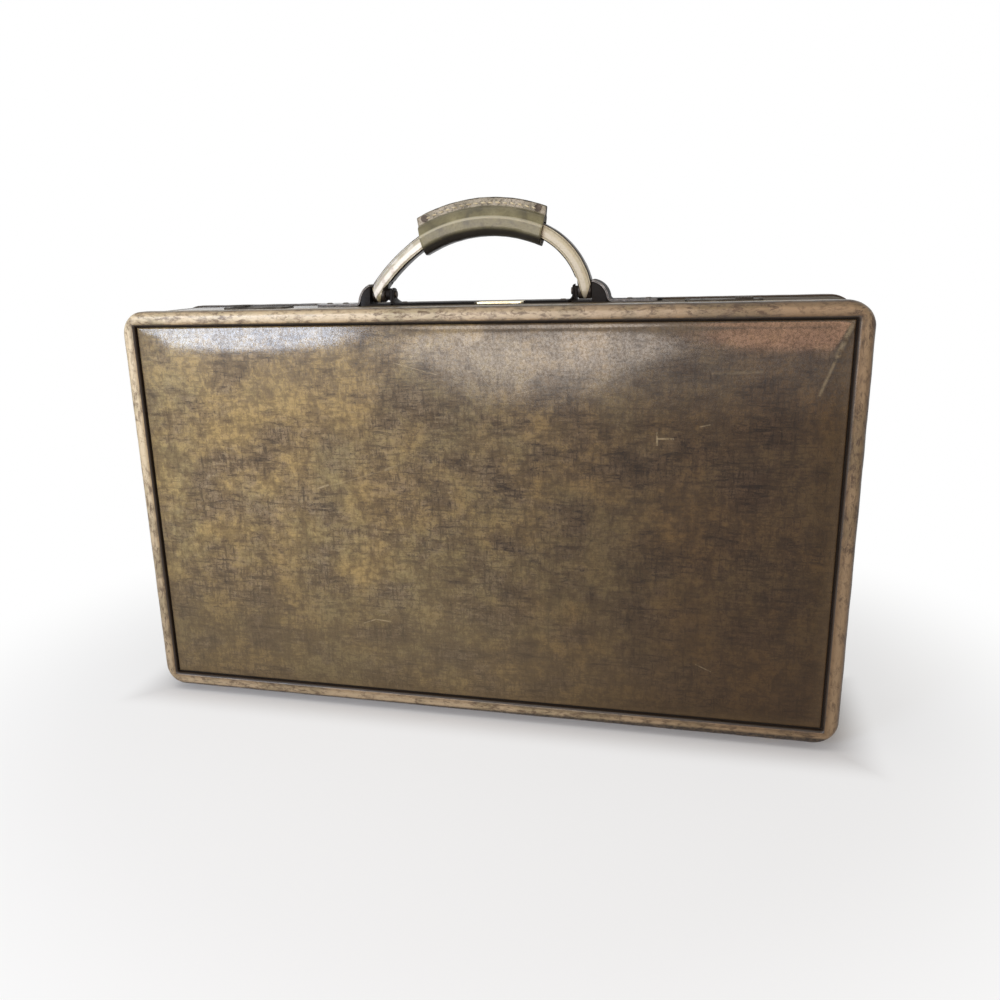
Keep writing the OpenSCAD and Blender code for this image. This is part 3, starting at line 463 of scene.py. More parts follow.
@dataclass(frozen=True)
class BindingLeather(Finish):
    """Pale tan edge leather, worn pale along its crest with a painted highlight there, dirty in patches near
    its inner edge, with painted shade on its outer side, along the bottom, on the part that runs back from
    the face, in the gap and towards the right and the bottom.
    """

    half_w: float
    half_h: float
    mid_z: float
    crest_inset: float = 0.0045
    tan: Colour = tone(156, 134, 98)
    # Pale tone of the crest, worn leather and painted highlight, also used for pale streaks.
    crest: Colour = tone(220, 205, 174)
    green: Colour = tone(130, 122, 84)
    scuff: Colour = tone(100, 80, 58)
    # Dark tone for specks and dirt, and for painted shade.
    dark_dirt_and_shade: Colour = tone(52, 42, 32)
    # Painted shade: dark brown on the inner wall, in the gap by the panel.
    gap_shadow: Colour = tone(46, 36, 27)
    # Painted shade: tone that the colour is multiplied by towards the right and the bottom.
    painted_shade_tone: Colour = tone(146, 127, 106)

    def build(self) -> Material:
        """Build the material.

        Returns:
            The finished material.
        """
        graph = self.start()
        x, y, z = graph.axes()
        from_side = self.half_w - abs(x)
        from_end = self.half_h - abs(z - self.mid_z)
        inset = from_side.least(from_end)
        upright = (from_end - from_side).rise(0.0, 0.004)
        level_streak = graph.noise(1, 6, 0.74, 0.5, (150, 420, 420))
        upright_streak = graph.noise(1, 6, 0.74, 0.5, (420, 420, 150))
        streak = level_streak * (1 - upright) + upright_streak * upright
        patch = graph.noise(34, 5, 0.6)
        bruise = graph.noise(120, 5, 0.66, 0.4)
        fine = graph.noise(420, 4, 0.7)
        # The crest of the roll, worn pale and with a painted highlight.
        crest = abs(inset - self.crest_inset).rise(0.0042, 0.0006)
        colour = graph.paint(
            self.tan,
            (crest * 0.70, self.crest),
            (patch.rise(0.46, 0.64) * 0.5, self.green),
            (streak.rise(0.46, 0.62) * patch.rise(0.30, 0.54) * 0.9, self.scuff),
            (bruise.rise(0.55, 0.64) * 0.5, self.scuff),
            (streak.rise(0.44, 0.30) * 0.25, self.crest),
        )
        specks = fine.rise(0.64, 0.74) * patch.rise(0.44, 0.62)
        colour = graph.mix(specks * 0.6, colour, self.dark_dirt_and_shade)
        # Painted shade on the outer side of the roll.
        dirt_and_shade = inset.rise(0.0016, 0.0004) * (0.55 + 0.25 * patch.rise(0.36, 0.60))
        # Dirt in patches near the inner edge.
        dirt_and_shade = dirt_and_shade.most(inset.rise(0.0066, 0.0084) * patch.rise(0.44, 0.60) * 0.6)
        # Painted shadow along the bottom, taller towards the right.
        dirt_and_shade = dirt_and_shade.most((z - x.rise(-0.12, 0.20) * 0.0024).rise(0.0072, 0.0054))
        colour = graph.mix(dirt_and_shade * (0.65 + 0.35 * fine.rise(0.36, 0.62)), colour, self.dark_dirt_and_shade)
        # Painted shade: darker towards the right and the bottom, where the light falls off.
        shade_falloff = (x.rise(-0.16, 0.20) * 0.9).most(z.rise(0.22, 0.03) * 0.62)
        colour = graph.mix(shade_falloff, colour, self.painted_shade_tone, "MULTIPLY")
        # Painted shade on the part of the binding that runs back from the face.
        colour = graph.mix(abs(y).rise(0.0390, 0.0350) * 0.8, colour, self.dark_dirt_and_shade)
        # Painted shade in the gap: the inner wall and its inner corners in dark brown.
        nook = from_side.rise(0.0082, 0.0086) * from_end.rise(0.0082, 0.0086)
        colour = graph.mix(inset.rise(0.0090, 0.0093).most(nook), colour, self.gap_shadow)
        height = streak * 0.8 + fine * 0.5 + graph.pores(1500) * 0.3
        return graph.dress(
            Base_Color=colour,
            Roughness=0.40 + 0.25 * streak.rise(0.45, 0.68),
            Specular_IOR_Level=0.35,
            Coat_Weight=0.3,
            Coat_Roughness=0.22,
            Normal=graph.bump(height, 0.00018),
        )


@dataclass(frozen=True)
class PlainLeather(Finish):
    """Leather of the smaller pieces, in one ground tone with wear, creases and pores."""

    ground: Colour
    worn: Colour
    deep: Colour
    patch_scale: float = 60.0
    wear: float = 0.6
    roughness: float = 0.42
    specular: float = 0.4
    coat: float = 0.2
    shine: Optional[tuple[float, float, float, float]] = None
    shine_end: Spot = (-0.214, -0.204)

    def build(self) -> Material:
        """Build the material.

        Returns:
            The finished material.
        """
        graph = self.start()
        patch = graph.noise(self.patch_scale, 6, 0.64, 0.3)
        fine = graph.noise(self.patch_scale * 8, 5, 0.7)
        pores = graph.pores(1500)
        colour = graph.paint(
            self.ground,
            (patch.rise(0.46, 0.66) * self.wear, self.worn),
            (fine.rise(0.54, 0.70) * 0.5, self.deep),
            (patch.rise(0.46, 0.34) * 0.5, self.deep),
        )
        height = pores * 0.5 + fine * 0.8 + patch * 0.6
        coat = self.coat
        if self.shine is not None:
            x, _, z = graph.axes()
            coat = x.rise(*self.shine[:2]) * x.rise(*self.shine_end) * z.rise(*self.shine[2:]) * self.coat
        return graph.dress(
            Base_Color=colour,
            Roughness=self.roughness + 0.18 * patch.rise(0.42, 0.66),
            Specular_IOR_Level=self.specular,
            Coat_Weight=coat,
            Coat_Roughness=0.2,
            Normal=graph.bump(height, 0.00012),
        )


@dataclass(frozen=True)
class GripLeather(Finish):
    """Olive leather of the grip, polished by the hand, grey along the sewn fin, with a painted highlight
    along its crease and near-black underneath, partly dirt and partly painted shade.
    """

    centre: Spot
    radius: float
    olive: Colour = tone(106, 100, 70)
    worn: Colour = tone(138, 130, 98)
    deep: Colour = tone(58, 52, 38)
    fin: Colour = tone(166, 158, 142)
    # Pale tone of the painted highlight along the crease.
    fold: Colour = tone(206, 198, 172)
    # Near-black underside: partly dirt, partly painted shade.
    under: Colour = tone(34, 32, 30)

    def build(self) -> Material:
        """Build the material.

        Returns:
            The finished material.
        """
        graph = self.start()
        out = graph.away(self.centre) - self.radius
        patch = graph.noise(75, 6, 0.64, 0.3)
        fine = graph.noise(620, 5, 0.7)
        pores = graph.pores(1500)
        sewn = out.rise(0.0084, 0.0100)
        crease = abs(out - 0.0024).rise(0.0012, 0.0002)
        colour = graph.paint(
            self.olive,
            (patch.rise(0.44, 0.66) * 0.6, self.worn),
            (patch.rise(0.46, 0.32) * 0.6, self.deep),
            (out.rise(0.0040, 0.0080) * 0.35, self.deep),
            (sewn * (0.55 + 0.45 * patch.rise(0.40, 0.60)), self.fin),
            (fine.rise(0.48, 0.62) * (0.20 + 0.42 * sewn), self.deep),
            # Painted highlight along the crease.
            (crease * 0.55, self.fold),
            # Near-black underneath: partly dirt, partly painted shade.
            (out.rise(-0.0026, -0.0058) * 0.97, self.under),
        )
        return graph.dress(
            Base_Color=colour,
            Roughness=0.40 + 0.16 * patch.rise(0.42, 0.66) + 0.22 * sewn,
            Specular_IOR_Level=0.3,
            Coat_Weight=0.22 - 0.2 * sewn,
            Coat_Roughness=0.16,
            Normal=graph.bump(pores * 0.5 + fine * (0.5 + sewn) + patch * 0.6, 0.00012),
        )


@dataclass(frozen=True)
class LegLeather(Finish):
    """Olive-cream leather on the handle's legs, creased along both edges, with a painted highlight band
    between them and pale worn patches.
    """

    centre: Spot
    radius: float
    # Cream of the painted highlight band and of the pale worn patches.
    cream: Colour
    olive: Colour = tone(156, 146, 112)
    crease: Colour = tone(96, 86, 62)
    russet: Colour = tone(140, 108, 78)

    def build(self) -> Material:
        """Build the material.

        Returns:
            The finished material.
        """
        graph = self.start()
        across = graph.away(self.centre) - self.radius
        patch = graph.noise(150, 5, 0.66, 0.3)
        fine = graph.noise(700, 5, 0.7)
        drift = across + (patch - 0.5) * 0.0016
        # Painted highlight: a cream band along the leg.
        band = abs(drift + 0.0009).rise(0.0021, 0.0009)
        lines = abs(abs(across) - 0.0029).rise(0.0005, 0.0001)
        colour = graph.paint(
            self.olive,
            (band * 0.85, self.cream),
            (patch.rise(0.50, 0.62) * 0.35, self.cream),
            (patch.rise(0.46, 0.36) * 0.40, self.russet),
            (lines * 0.65, self.crease),
            (fine.rise(0.56, 0.70) * 0.45, self.crease),
        )
        return graph.dress(
            Base_Color=colour,
            Roughness=0.30 + 0.2 * patch,
            Specular_IOR_Level=0.45,
            Coat_Weight=0.35,
            Coat_Roughness=0.2,
            Normal=graph.bump(fine * 0.6 + patch - lines * 0.8, 0.00014),
        )


@dataclass(frozen=True)
class RawEdge(Finish):
    """Cut edge of leather: fibrous, with thin layers showing."""

    ground: Colour
    pale: Colour
    dark: Colour

    def build(self) -> Material:
        """Build the material.

        Returns:
            The finished material.
        """
        graph = self.start()
        fibre = graph.noise(900, 6, 0.75)
        patch = graph.noise(160, 4, 0.6)
        colour = graph.paint(
            self.ground,
            (patch.rise(0.42, 0.62), self.pale),
            (fibre.rise(0.52, 0.68) * 0.7, self.dark),
        )
        return graph.dress(
            Base_Color=colour,
            Roughness=0.62 + 0.2 * fibre,
            Specular_IOR_Level=0.3,
            Normal=graph.bump(fibre + patch, 0.00016),
        )


@dataclass(frozen=True)
class AgedMetal(Finish):
    """Metal with a dulled, finely brushed face and dark stained spots."""

    bright: Colour
    dull: Colour
    stain: Colour
    roughness: float = 0.32
    brush: Triple = (60.0, 900.0, 900.0)

    def build(self) -> Material:
        """Build the material.

        Returns:
            The finished material.
        """
        graph = self.start()
        patch = graph.noise(90, 5, 0.62)
        brushed = graph.noise(1, 4, 0.6, stretch=self.brush)
        spots = graph.noise(600, 4, 0.7)
        colour = graph.paint(
            self.bright,
            (patch.rise(0.40, 0.66), self.dull),
            (spots.rise(0.60, 0.74) * 0.7, self.stain),
        )
        return graph.dress(
            Base_Color=colour,
            Metallic=1.0 - 0.35 * spots.rise(0.60, 0.74),
            Roughness=self.roughness + 0.22 * patch + 0.12 * brushed,
            Normal=graph.bump(brushed + spots * 0.6, 0.00003),
        )


@dataclass(frozen=True)
class PlyWood(Finish):
    """Planed wood of the wall frames, with grain along the boards."""

    light: Colour = tone(196, 164, 118)
    dark: Colour = tone(150, 116, 76)

    def build(self) -> Material:
        """Build the material.

        Returns:
            The finished material.
        """
        graph = self.start()
        rings = graph.noise(1, 5, 0.6, 0.8, (6, 90, 90))
        pores = graph.noise(1, 3, 0.6, stretch=(40, 1400, 1400))
        colour = graph.paint(
            self.light,
            (rings.rise(0.38, 0.64), self.dark),
            (pores.rise(0.60, 0.72) * 0.4, self.dark),
        )
        return graph.dress(
            Base_Color=colour,
            Roughness=0.55 + 0.15 * rings,
            Specular_IOR_Level=0.35,
            Normal=graph.bump(rings + pores, 0.0001),
        )


@dataclass(frozen=True)
class Fabric(Finish):
    """Woven stuff of the lining or the board, as crossed threads."""

    ground: Colour
    shade: Colour
    threads: float = 1600.0
    roughness: float = 0.85

    def build(self) -> Material:
        """Build the material.

        Returns:
            The finished material.
        """
        graph = self.start()
        x, y, z = graph.axes()
        pitch = self.threads * 2 * math.pi / 4
        warp = (x + y) * pitch
        weft = (z + y) * pitch
        weave = warp.sine() * weft.sine()
        patch = graph.noise(22, 4, 0.6)
        fuzz = graph.noise(900, 4, 0.7)
        colour = graph.paint(
            self.ground,
            (patch.rise(0.35, 0.70) * 0.6, self.shade),
            (fuzz.rise(0.45, 0.75) * 0.4, self.shade),
        )
        return graph.dress(
            Base_Color=colour,
            Roughness=self.roughness - 0.1 * patch,
            Specular_IOR_Level=0.2,
            Sheen_Weight=0.25,
            Normal=graph.bump(weave * 0.5 + fuzz, 0.0001),
        )


@dataclass(frozen=True)
class WaxedThread(Finish):
    """Waxed linen thread of the stitches, with its twist."""

    pale: Colour = tone(196, 184, 152)
    soiled: Colour = tone(140, 126, 98)

    def build(self) -> Material:
        """Build the material.

        Returns:
            The finished material.
        """
        graph = self.start()
        twist = graph.noise(1, 3, 0.6, stretch=(2600, 900, 900), turn=(0.0, 0.6, 0.0))
        soil = graph.noise(140, 4, 0.6)
        colour = graph.mix(soil.rise(0.44, 0.66), self.pale, self.soiled)
        return graph.dress(
            Base_Color=colour,
            Roughness=0.5 + 0.2 * twist,
            Specular_IOR_Level=0.35,
            Normal=graph.bump(twist, 0.00012),
        )


@dataclass(frozen=True)
class Station:
    """A place on a route in the X-Z plane, with the angle from +Z at which its outward side looks."""

    x: float
    z: float
    lean: float

    def point(self, out: float, y: float) -> Vector:
        """Place a point that lies out from the route, at a depth."""
        return Vector((self.x + out * math.sin(self.lean), y, self.z + out * math.cos(self.lean)))


class Route:
    """A route in the X-Z plane, laid from where it stands, as lines and bends."""

    def __init__(self, x: float, z: float, lean: float = 0.0) -> None:
        """Start at a place, heading along the surface that leans so."""
        self.stations = [Station(x, z, lean)]

    def line(self, length: float, steps: int = 1) -> "Route":
        """Run straight on.

        Args:
            length: Length of the run.
            steps: Number of stations on it.

        Returns:
            The route itself.
        """
        last = self.stations[-1]
        for k in range(1, steps + 1):
            run = length * k / steps
            x = last.x + run * math.cos(last.lean)
            self.stations.append(Station(x, last.z - run * math.sin(last.lean), last.lean))
        return self

    def bend(self, radius: float, angle: float, steps: int = 8) -> "Route":
        """Bend over with a positive angle, or up with a negative one.

        Args:
            radius: Radius of the bend.
            angle: Angle of the bend, in radians.
            steps: Number of stations on it.

        Returns:
            The route itself.
        """
        last = self.stations[-1]
        reach = radius if angle > 0 else -radius
        centre_x = last.x - reach * math.sin(last.lean)
        centre_z = last.z - reach * math.cos(last.lean)
        for k in range(1, steps + 1):
            self.stations.append(arc_station(centre_x, centre_z, reach, last.lean + angle * k / steps))
        return self


def arc_station(centre_x: float, centre_z: float, radius: float, lean: float) -> Station:
    """Give the station at an angle on an arc."""
    return Station(centre_x + radius * math.sin(lean), centre_z + radius * math.cos(lean), lean)


class Sweep:
    """Draws a closed section along a route, ring after ring, by extruding the last ring's edges."""

    def __init__(self, bm: Mesh, ring: Ring) -> None:
        """Start with the first ring."""
        self.bm = bm
        self.verts = [bm.verts.new(place) for place in ring]
        self.edges = self._loop()
        self.first = self.edges

    def _loop(self) -> list[bmesh.types.BMEdge]:
        """Give the edges round the last ring, made where they are missing."""
        pairs = zip(self.verts, self.verts[1:] + self.verts[:1])
        return [self.bm.edges.get(pair) or self.bm.edges.new(pair) for pair in pairs]

    def advance(self, ring: Ring, material: int = 0) -> None:
        """Extrude the last ring to the next one.

        Args:
            ring: Places of the next ring's points.
            material: Material slot of the new faces.
        """
        grown = bmesh.ops.extrude_edge_only(self.bm, edges=self.edges)["geom"]
        fresh = {part for part in grown if isinstance(part, bmesh.types.BMVert)}
        for part in grown:
            if isinstance(part, bmesh.types.BMFace):
                part.material_index = material
        partners = []
        for vert in self.verts:
            ends = (edge.other_vert(vert) for edge in vert.link_edges)
            partners.append(next(end for end in ends if end in fresh))
        for vert, place in zip(partners, ring):
            vert.co = place
        self.verts = partners
        self.edges = self._loop()

    def cap(self, material: int = 0) -> None:
        """Close the last ring with one face."""
        for part in bmesh.ops.contextual_create(self.bm, geom=self.edges)["faces"]:
            part.material_index = material

    def close(self) -> None:
        """Join the last ring to the first."""
        bmesh.ops.bridge_loops(self.bm, edges=self.first + self.edges)


def draw_bar(bm: Mesh, rings: Sequence[Ring], end: int = 0) -> None:
    """Draw a bar through rings and close its two ends.

    Args:
        bm: Mesh to add it to.
        rings: Places of each ring's points.
        end: Material slot of the ends.
    """
    sweep = Sweep(bm, rings[0])
    sweep.cap(end)
    for ring in rings[1:]:
        sweep.advance(ring)
    sweep.cap(end)


def filleted(corners: Sequence[Triple], steps: int = 4) -> Outline:
    """Round the corners of a closed outline.

    Args:
        corners: First and second coordinate and radius of each corner.
        steps: Number of spans on each round.

    Returns:
        The outline's points.
    """
    outline = []
    for k, (a, b, radius) in enumerate(corners):
        corner = Vector((a, b))
        before = Vector(corners[k - 1][:2]) - corner
        after = Vector(corners[(k + 1) % len(corners)][:2]) - corner
        half = before.angle(after) / 2
        cut = min(radius / math.tan(half), FILLET_LIMIT * min(before.length, after.length))
        radius = cut * math.tan(half)
        if radius < 1e-9:
            outline.append((a, b))
            continue
        bisector = (before.normalized() + after.normalized()).normalized()
        middle = corner + bisector * (radius / math.sin(half))
        start = corner + before.normalized() * cut - middle
        end = corner + after.normalized() * cut - middle
        for j in range(steps + 1):
            spoke = start.lerp(end, j / steps).normalized() * radius
            outline.append((middle.x + spoke.x, middle.y + spoke.y))
    return outline


def rounded_bar(thick: float, wide: float, radius: float, steps: int = 4, offset: float = 0.0) -> Outline:
    """Give the outline of a bar with round edges.

    Args:
        thick: Size along the first coordinate.
        wide: Size along the second coordinate.
        radius: Radius of the edges.
        steps: Number of spans on each round.
        offset: First coordinate of the bar's middle.

    Returns:
        The outline's points.
    """
    t, w = thick / 2, wide / 2
    signs = ((1, -1), (-1, -1), (-1, 1), (1, 1))
    return filleted([(offset + s * t, e * w, radius) for s, e in signs], steps)


def roughen(bm: Mesh, amount: float, scale: float, seed: float) -> None:
    """Move every point along its normal by soft noise.

    Args:
        bm: Mesh to work on.
        amount: Greatest move, in metres.
        scale: Number of features to a metre.
        seed: Shift of the noise.
    """
    bm.normal_update()
    shift = Vector((seed, seed * 1.7, seed * 0.6))
    for vert in bm.verts:
        vert.co += vert.normal * amount * noise.noise(vert.co * scale + shift)


def outward(bm: Mesh) -> None:
    """Merge doubles and turn every face outwards."""
    bmesh.ops.remove_doubles(bm, verts=bm.verts, dist=1e-6)
    bmesh.ops.recalc_face_normals(bm, faces=bm.faces)


def link(name: str, data: Any) -> Piece:
    """Put a new object with this data into the scene."""
    thing = bpy.data.objects.new(name, data)
    bpy.context.scene.collection.objects.link(thing)
    return thing


def to_object(bm: Mesh, name: str, finishes: Sequence[Material]) -> Piece:
    """Turn a bmesh, which is freed, into an object with these materials."""
    mesh = bpy.data.meshes.new(name)
    bm.to_mesh(mesh)
    bm.free()
    for finish in finishes:
        mesh.materials.append(finish)
    return link(name, mesh)


def present(
    bm: Mesh, name: str, body: str, slot: Slot, finishes: Sequence[Material], crisp: float, *replaced: str
) -> Piece:
    """Turn a bmesh into a piece that rides on a body.

    Args:
        bm: Finished mesh, which is freed.
        name: Name of the piece.
        body: Body that it rides on.
        slot: Not used.
        finishes: Materials, in the order of the mesh's material numbers.
        crisp: Angle in degrees past which an edge stays sharp.
        replaced: Frame nodes that it stands for.

    Returns:
        The piece.
    """
    piece = to_object(bm, name, finishes)
    piece.data.shade_smooth()
    piece.data.set_sharp_from_angle(angle=math.radians(crisp))
    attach(piece, body)
    if replaced:
        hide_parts(*replaced)
    LOG.info("%s: %d faces on %s", name, len(piece.data.polygons), body)
    return piece


def span(node: str) -> Triple:
    """Give the half width, half height and middle height of a node of the frame."""
    low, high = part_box(node)
    return (high.x - low.x) / 2, (high.z - low.z) / 2, (high.z + low.z) / 2


@dataclass(frozen=True)
class Crease:
    """A fold in a panel's leather, from a corner inwards, as X and Z from the panel's middle."""

    start: Spot
    end: Spot
    height: float = 0.00065
    steep: float = 0.0014
    gentle: float = 0.0060

    def rise(self, x: float, z: float) -> float:
        """Give the fold's height at a place."""
        run_x, run_z = self.end[0] - self.start[0], self.end[1] - self.start[1]
        length = math.hypot(run_x, run_z)
        along = ((x - self.start[0]) * run_x + (z - self.start[1]) * run_z) / length
        across = ((x - self.start[0]) * run_z - (z - self.start[1]) * run_x) / length
        share = along / length
        if not 0 < share < 1:
            return 0.0
        fade = math.sin(math.pi * share ** 0.6) * (1 - share * 0.4)
        width = self.steep if across < 0 else self.gentle
        return self.height * fade * math.exp(-((across / width) ** 2))


@dataclass
class FacePanel:
    """Padded leather panel of a half: a flat lip, a groove, and a crown that rolls off to the edges."""

    half: Half
    finish: Material
    creases: tuple[Crease, ...] = ()
    lip: float = 0.0031
    lip_round: float = 0.0009
    lip_slope: float = 0.13
    groove: float = 0.00007
    groove_w: float = 0.0011
    belly: float = 0.00035
    roll_left: float = 0.026
    roll_right: float = 0.022
    roll_top: float = 0.027
    roll_bottom: float = 0.022
    recess: float = 0.0024
    fine_step: float = 0.00035
    coarse_step: float = 0.0022
    growth: float = 1.18
    swells: tuple[Spot, ...] = ((22.0, 0.00010), (75.0, 0.00004))
    headroom: float = 0.0001

    def __post_init__(self) -> None:
        """Take the panel's size from the frame."""
        self.half_w, self.half_h, self.mid_z = span(self.half.title + "_panel")
        low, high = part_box(self.half.title + "_panel")
        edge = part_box(self.half.title + "_binding")
        sign = self.half.value
        self.back_y = low.y if sign > 0 else high.y
        self.rim_y = (edge[1].y if sign > 0 else edge[0].y) - sign * self.recess
        self.crown = abs((high.y if sign > 0 else low.y) - self.rim_y)

    def ladder(self, half: float) -> list[float]:
        """Space the grid's lines, close at the edges and wide in the middle.

        Args:
            half: Half of the panel's size.

        Returns:
            Places from one edge to the other, about the middle.
        """
        inset, step, insets = 0.0, self.fine_step, [0.0]
        while inset + step < half - self.coarse_step / 2:
            inset += step
            insets.append(inset)
            step = min(self.coarse_step, step * self.growth)
        west = [d - half for d in insets]
        return west + [0.0] + [-d for d in reversed(west)]

    @staticmethod
    def ease(inset: float, reach: float) -> float:
        """Rise from 0 at the lip to 1 where the roll-off ends."""
        share = min(1.0, max(0.0, inset / reach))
        return 1 - (1 - share) ** 3

    def height(self, x: float, z: float) -> float:
        """Give the height of the leather over the rim's level.

        Args:
            x: Place along the width, from the middle.
            z: Place along the height, from the middle.

        Returns:
            The height in metres.
        """
        from_side, from_end = self.half_w - abs(x), self.half_h - abs(z)
        edge = min(from_side, from_end)
        roll_x = self.roll_left if x < 0 else self.roll_right
        roll_z = self.roll_top if z > 0 else self.roll_bottom
        rise = (self.crown - self.belly) * self.ease(from_side - self.lip, roll_x)
        rise *= self.ease(from_end - self.lip, roll_z)
        rise += self.belly * (1 - (x / self.half_w) ** 2) * (1 - (z / self.half_h) ** 2)
        rise -= self.groove * math.exp(-(((edge - self.lip) / self.groove_w) ** 2))
        rise -= self.lip_slope * max(0.0, self.lip - edge)
        if edge < self.lip_round:
            share = 1 - edge / self.lip_round
            rise -= self.lip_round * (1 - math.sqrt(max(0.0, 1 - share * share)))
        spot = Vector((x, 0.3 * self.half.value, z))
        calm = self.ease(edge - self.lip, self.lip * 3)
        for scale, swell in self.swells:
            rise += calm * swell * noise.noise(spot * scale)
        for crease in self.creases:
            rise += crease.rise(x, z)
        return min(rise, self.crown + self.headroom)

    def build(self) -> Piece:
        """Build the panel.

        Returns:
            The piece.
        """
        xs, zs = self.ladder(self.half_w), self.ladder(self.half_h)
        columns, rows = len(xs) - 1, len(zs) - 1
        bm = bmesh.new()
        bmesh.ops.create_grid(bm, x_segments=columns, y_segments=rows, size=0.5)
        sign = self.half.value
        for vert in bm.verts:
            x = xs[round((vert.co.x + 0.5) * columns)]
            z = zs[round((vert.co.y + 0.5) * rows)]
            vert.co = Vector((x, self.rim_y + sign * self.height(x, z), self.mid_z + z))
        border = [edge for edge in bm.edges if edge.is_boundary]
        skirt = bmesh.ops.extrude_edge_only(bm, edges=border)["geom"]
        for part in skirt:
            if isinstance(part, bmesh.types.BMVert):
                part.co.y = self.back_y
        bmesh.ops.contextual_create(bm, geom=[edge for edge in bm.edges if edge.is_boundary])
        outward(bm)
        title = self.half.title
        name = title + "_face_leather"
        return present(bm, name, title, Slot.PANEL, [self.finish], 50, title + "_panel")


@dataclass
class RolledBinding:
    """Leather binding rolled over the edge of a half, as one ring with close corners at the panel."""

    half: Half
    finish: Material
    corner: float = 0.015
    inner_corner: float = 0.0012
    width: float = 0.0094
    skin: float = 0.0002
    outer_roll: float = 0.0040
    inner_roll: float = 0.0026
    face_t: float = 0.004
    lap_t: float = 0.00115
    corner_steps: int = 14
    run_step: float = 0.004

    def __post_init__(self) -> None:
        """Take the binding's size from the frame."""
        self.half_w, self.half_h, self.mid_z = span(self.half.title + "_binding")
        low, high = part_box(self.half.title + "_binding")
        self.depth = high.y - low.y
        self.face_y = high.y if self.half is Half.BASE else low.y

    def section(self) -> Outline:
        """Give the section as inset from the outside and depth from the face."""
        return filleted(
            [
                (self.skin, self.depth, 0.0004),
                (self.skin, self.skin, self.outer_roll),
                (self.width, self.skin, self.inner_roll),
                (self.width, self.face_t, 0.0),
                (self.lap_t, self.face_t, 0.0),
                (self.lap_t, self.depth, 0.0003),
            ],
            7,
        )

    def around(self, inset: float) -> list[Spot]:
        """Give the places round the case at an inset, as X and Z from the middle.

        Args:
            inset: Distance from the outside of the case.

        Returns:
            As many places as the ring has stations.
        """
        share = inset / self.width
        radius = self.corner + (self.inner_corner - self.corner) * share
        w, h = self.half_w - inset - radius, self.half_h - inset - radius
        places = []
        quarters = ((1, 1, 0.0), (1, -1, 90.0), (-1, -1, 180.0), (-1, 1, 270.0))
        for k, (sx, sz, start) in enumerate(quarters):
            for j in range(self.corner_steps + 1):
                angle = math.radians(start + 90 * j / self.corner_steps)
                places.append((sx * w + radius * math.sin(angle), sz * h + radius * math.cos(angle)))
            ahead = quarters[(k + 1) % 4]
            angle = math.radians(start + 90)
            here = places[-1]
            there = (ahead[0] * w + radius * math.sin(angle), ahead[1] * h + radius * math.cos(angle))
            runs = round((2 * (self.half_h if k % 2 == 0 else self.half_w)) / self.run_step)
            for j in range(1, runs):
                share = j / runs
                places.append(tuple(a + (b - a) * share for a, b in zip(here, there)))
        return places

    def build(self) -> Piece:
        """Build the binding.

        Returns:
            The piece.
        """
        inward = -self.half.value
        lanes = []
        for inset, depth in self.section():
            y = self.face_y + inward * depth
            lanes.append([Vector((x, y, self.mid_z + z)) for x, z in self.around(inset)])
        rings = list(zip(*lanes))
        bm = bmesh.new()
        sweep = Sweep(bm, rings[0])
        for ring in rings[1:]:
            sweep.advance(ring)
        sweep.close()
        outward(bm)
        roughen(bm, 0.00016, 75, 3.1)
        roughen(bm, 0.00007, 320, 8.4)
        title = self.half.title
        name = title + "_rolled_binding"
        return present(bm, name, title, Slot.BINDING, [self.finish], 60, title + "_binding")


@dataclass(frozen=True)
class Arch:
    """Centre line of the handle: an arc in the grip, one in each leg, and a neck over each eye."""

    left_x: float
    right_x: float
    pivot_z: float
    crown_z: float
    crown_x: float = 0.0052
    grip_r: float = 0.092
    grip_half: float = math.radians(25.2)
    tilt: float = math.radians(2.8)
    leg_inset: float = math.radians(4.0)
    left_leg_r: float = 0.120
    right_leg_r: float = 0.050
    neck_top: float = 0.0040
    neck_foot: float = 0.0026

    @property
    def centre(self) -> Spot:
        """Centre of the grip's arc."""
        return (self.crown_x, self.crown_z - self.grip_r)

    def eye_x(self, side: Side) -> float:
        """Give the place of a side's eye along the width."""
        return self.left_x if side is Side.LEFT else self.right_x

    def leg_r(self, side: Side) -> float:
        """Give the radius of a side's leg."""
        return self.left_leg_r if side is Side.LEFT else self.right_leg_r

    def leg_ends(self, side: Side) -> tuple[Vector, Vector]:
        """Give the two ends of a leg's arc, as X and Z."""
        lean = side.value * (self.grip_half - self.leg_inset) - self.tilt
        top = arc_station(*self.centre, self.grip_r, lean)
        return Vector((top.x, top.z)), Vector((self.eye_x(side), self.pivot_z + self.neck_top))

    def leg_centre(self, side: Side) -> Spot:
        """Give the centre of a leg's arc, as X and Z."""
        head, foot = self.leg_ends(side)
        run = (foot - head).normalized()
        back = math.sqrt(self.leg_r(side) ** 2 - (foot - head).length_squared / 4)
        centre = (head + foot) / 2 + side.value * back * Vector((run.y, -run.x))
        return (centre.x, centre.y)

    def leg(self, side: Side, steps: int) -> list[Station]:
        """Lay the stations of a leg, from inside the grip to the neck over its eye.

        Args:
            side: Side of the leg.
            steps: Number of spans.

        Returns:
            The stations.
        """
        (head, foot), (x, z) = self.leg_ends(side), self.leg_centre(side)
        start, end = math.atan2(head.x - x, head.y - z), math.atan2(foot.x - x, foot.y - z)
        leans = [start + (end - start) * k / steps for k in range(steps + 1)]
        stations = [arc_station(x, z, self.leg_r(side), lean) for lean in leans]
        lean = (end + side.value * math.pi / 2) / 2
        return stations + [Station(foot.x, self.pivot_z + self.neck_foot, lean)]


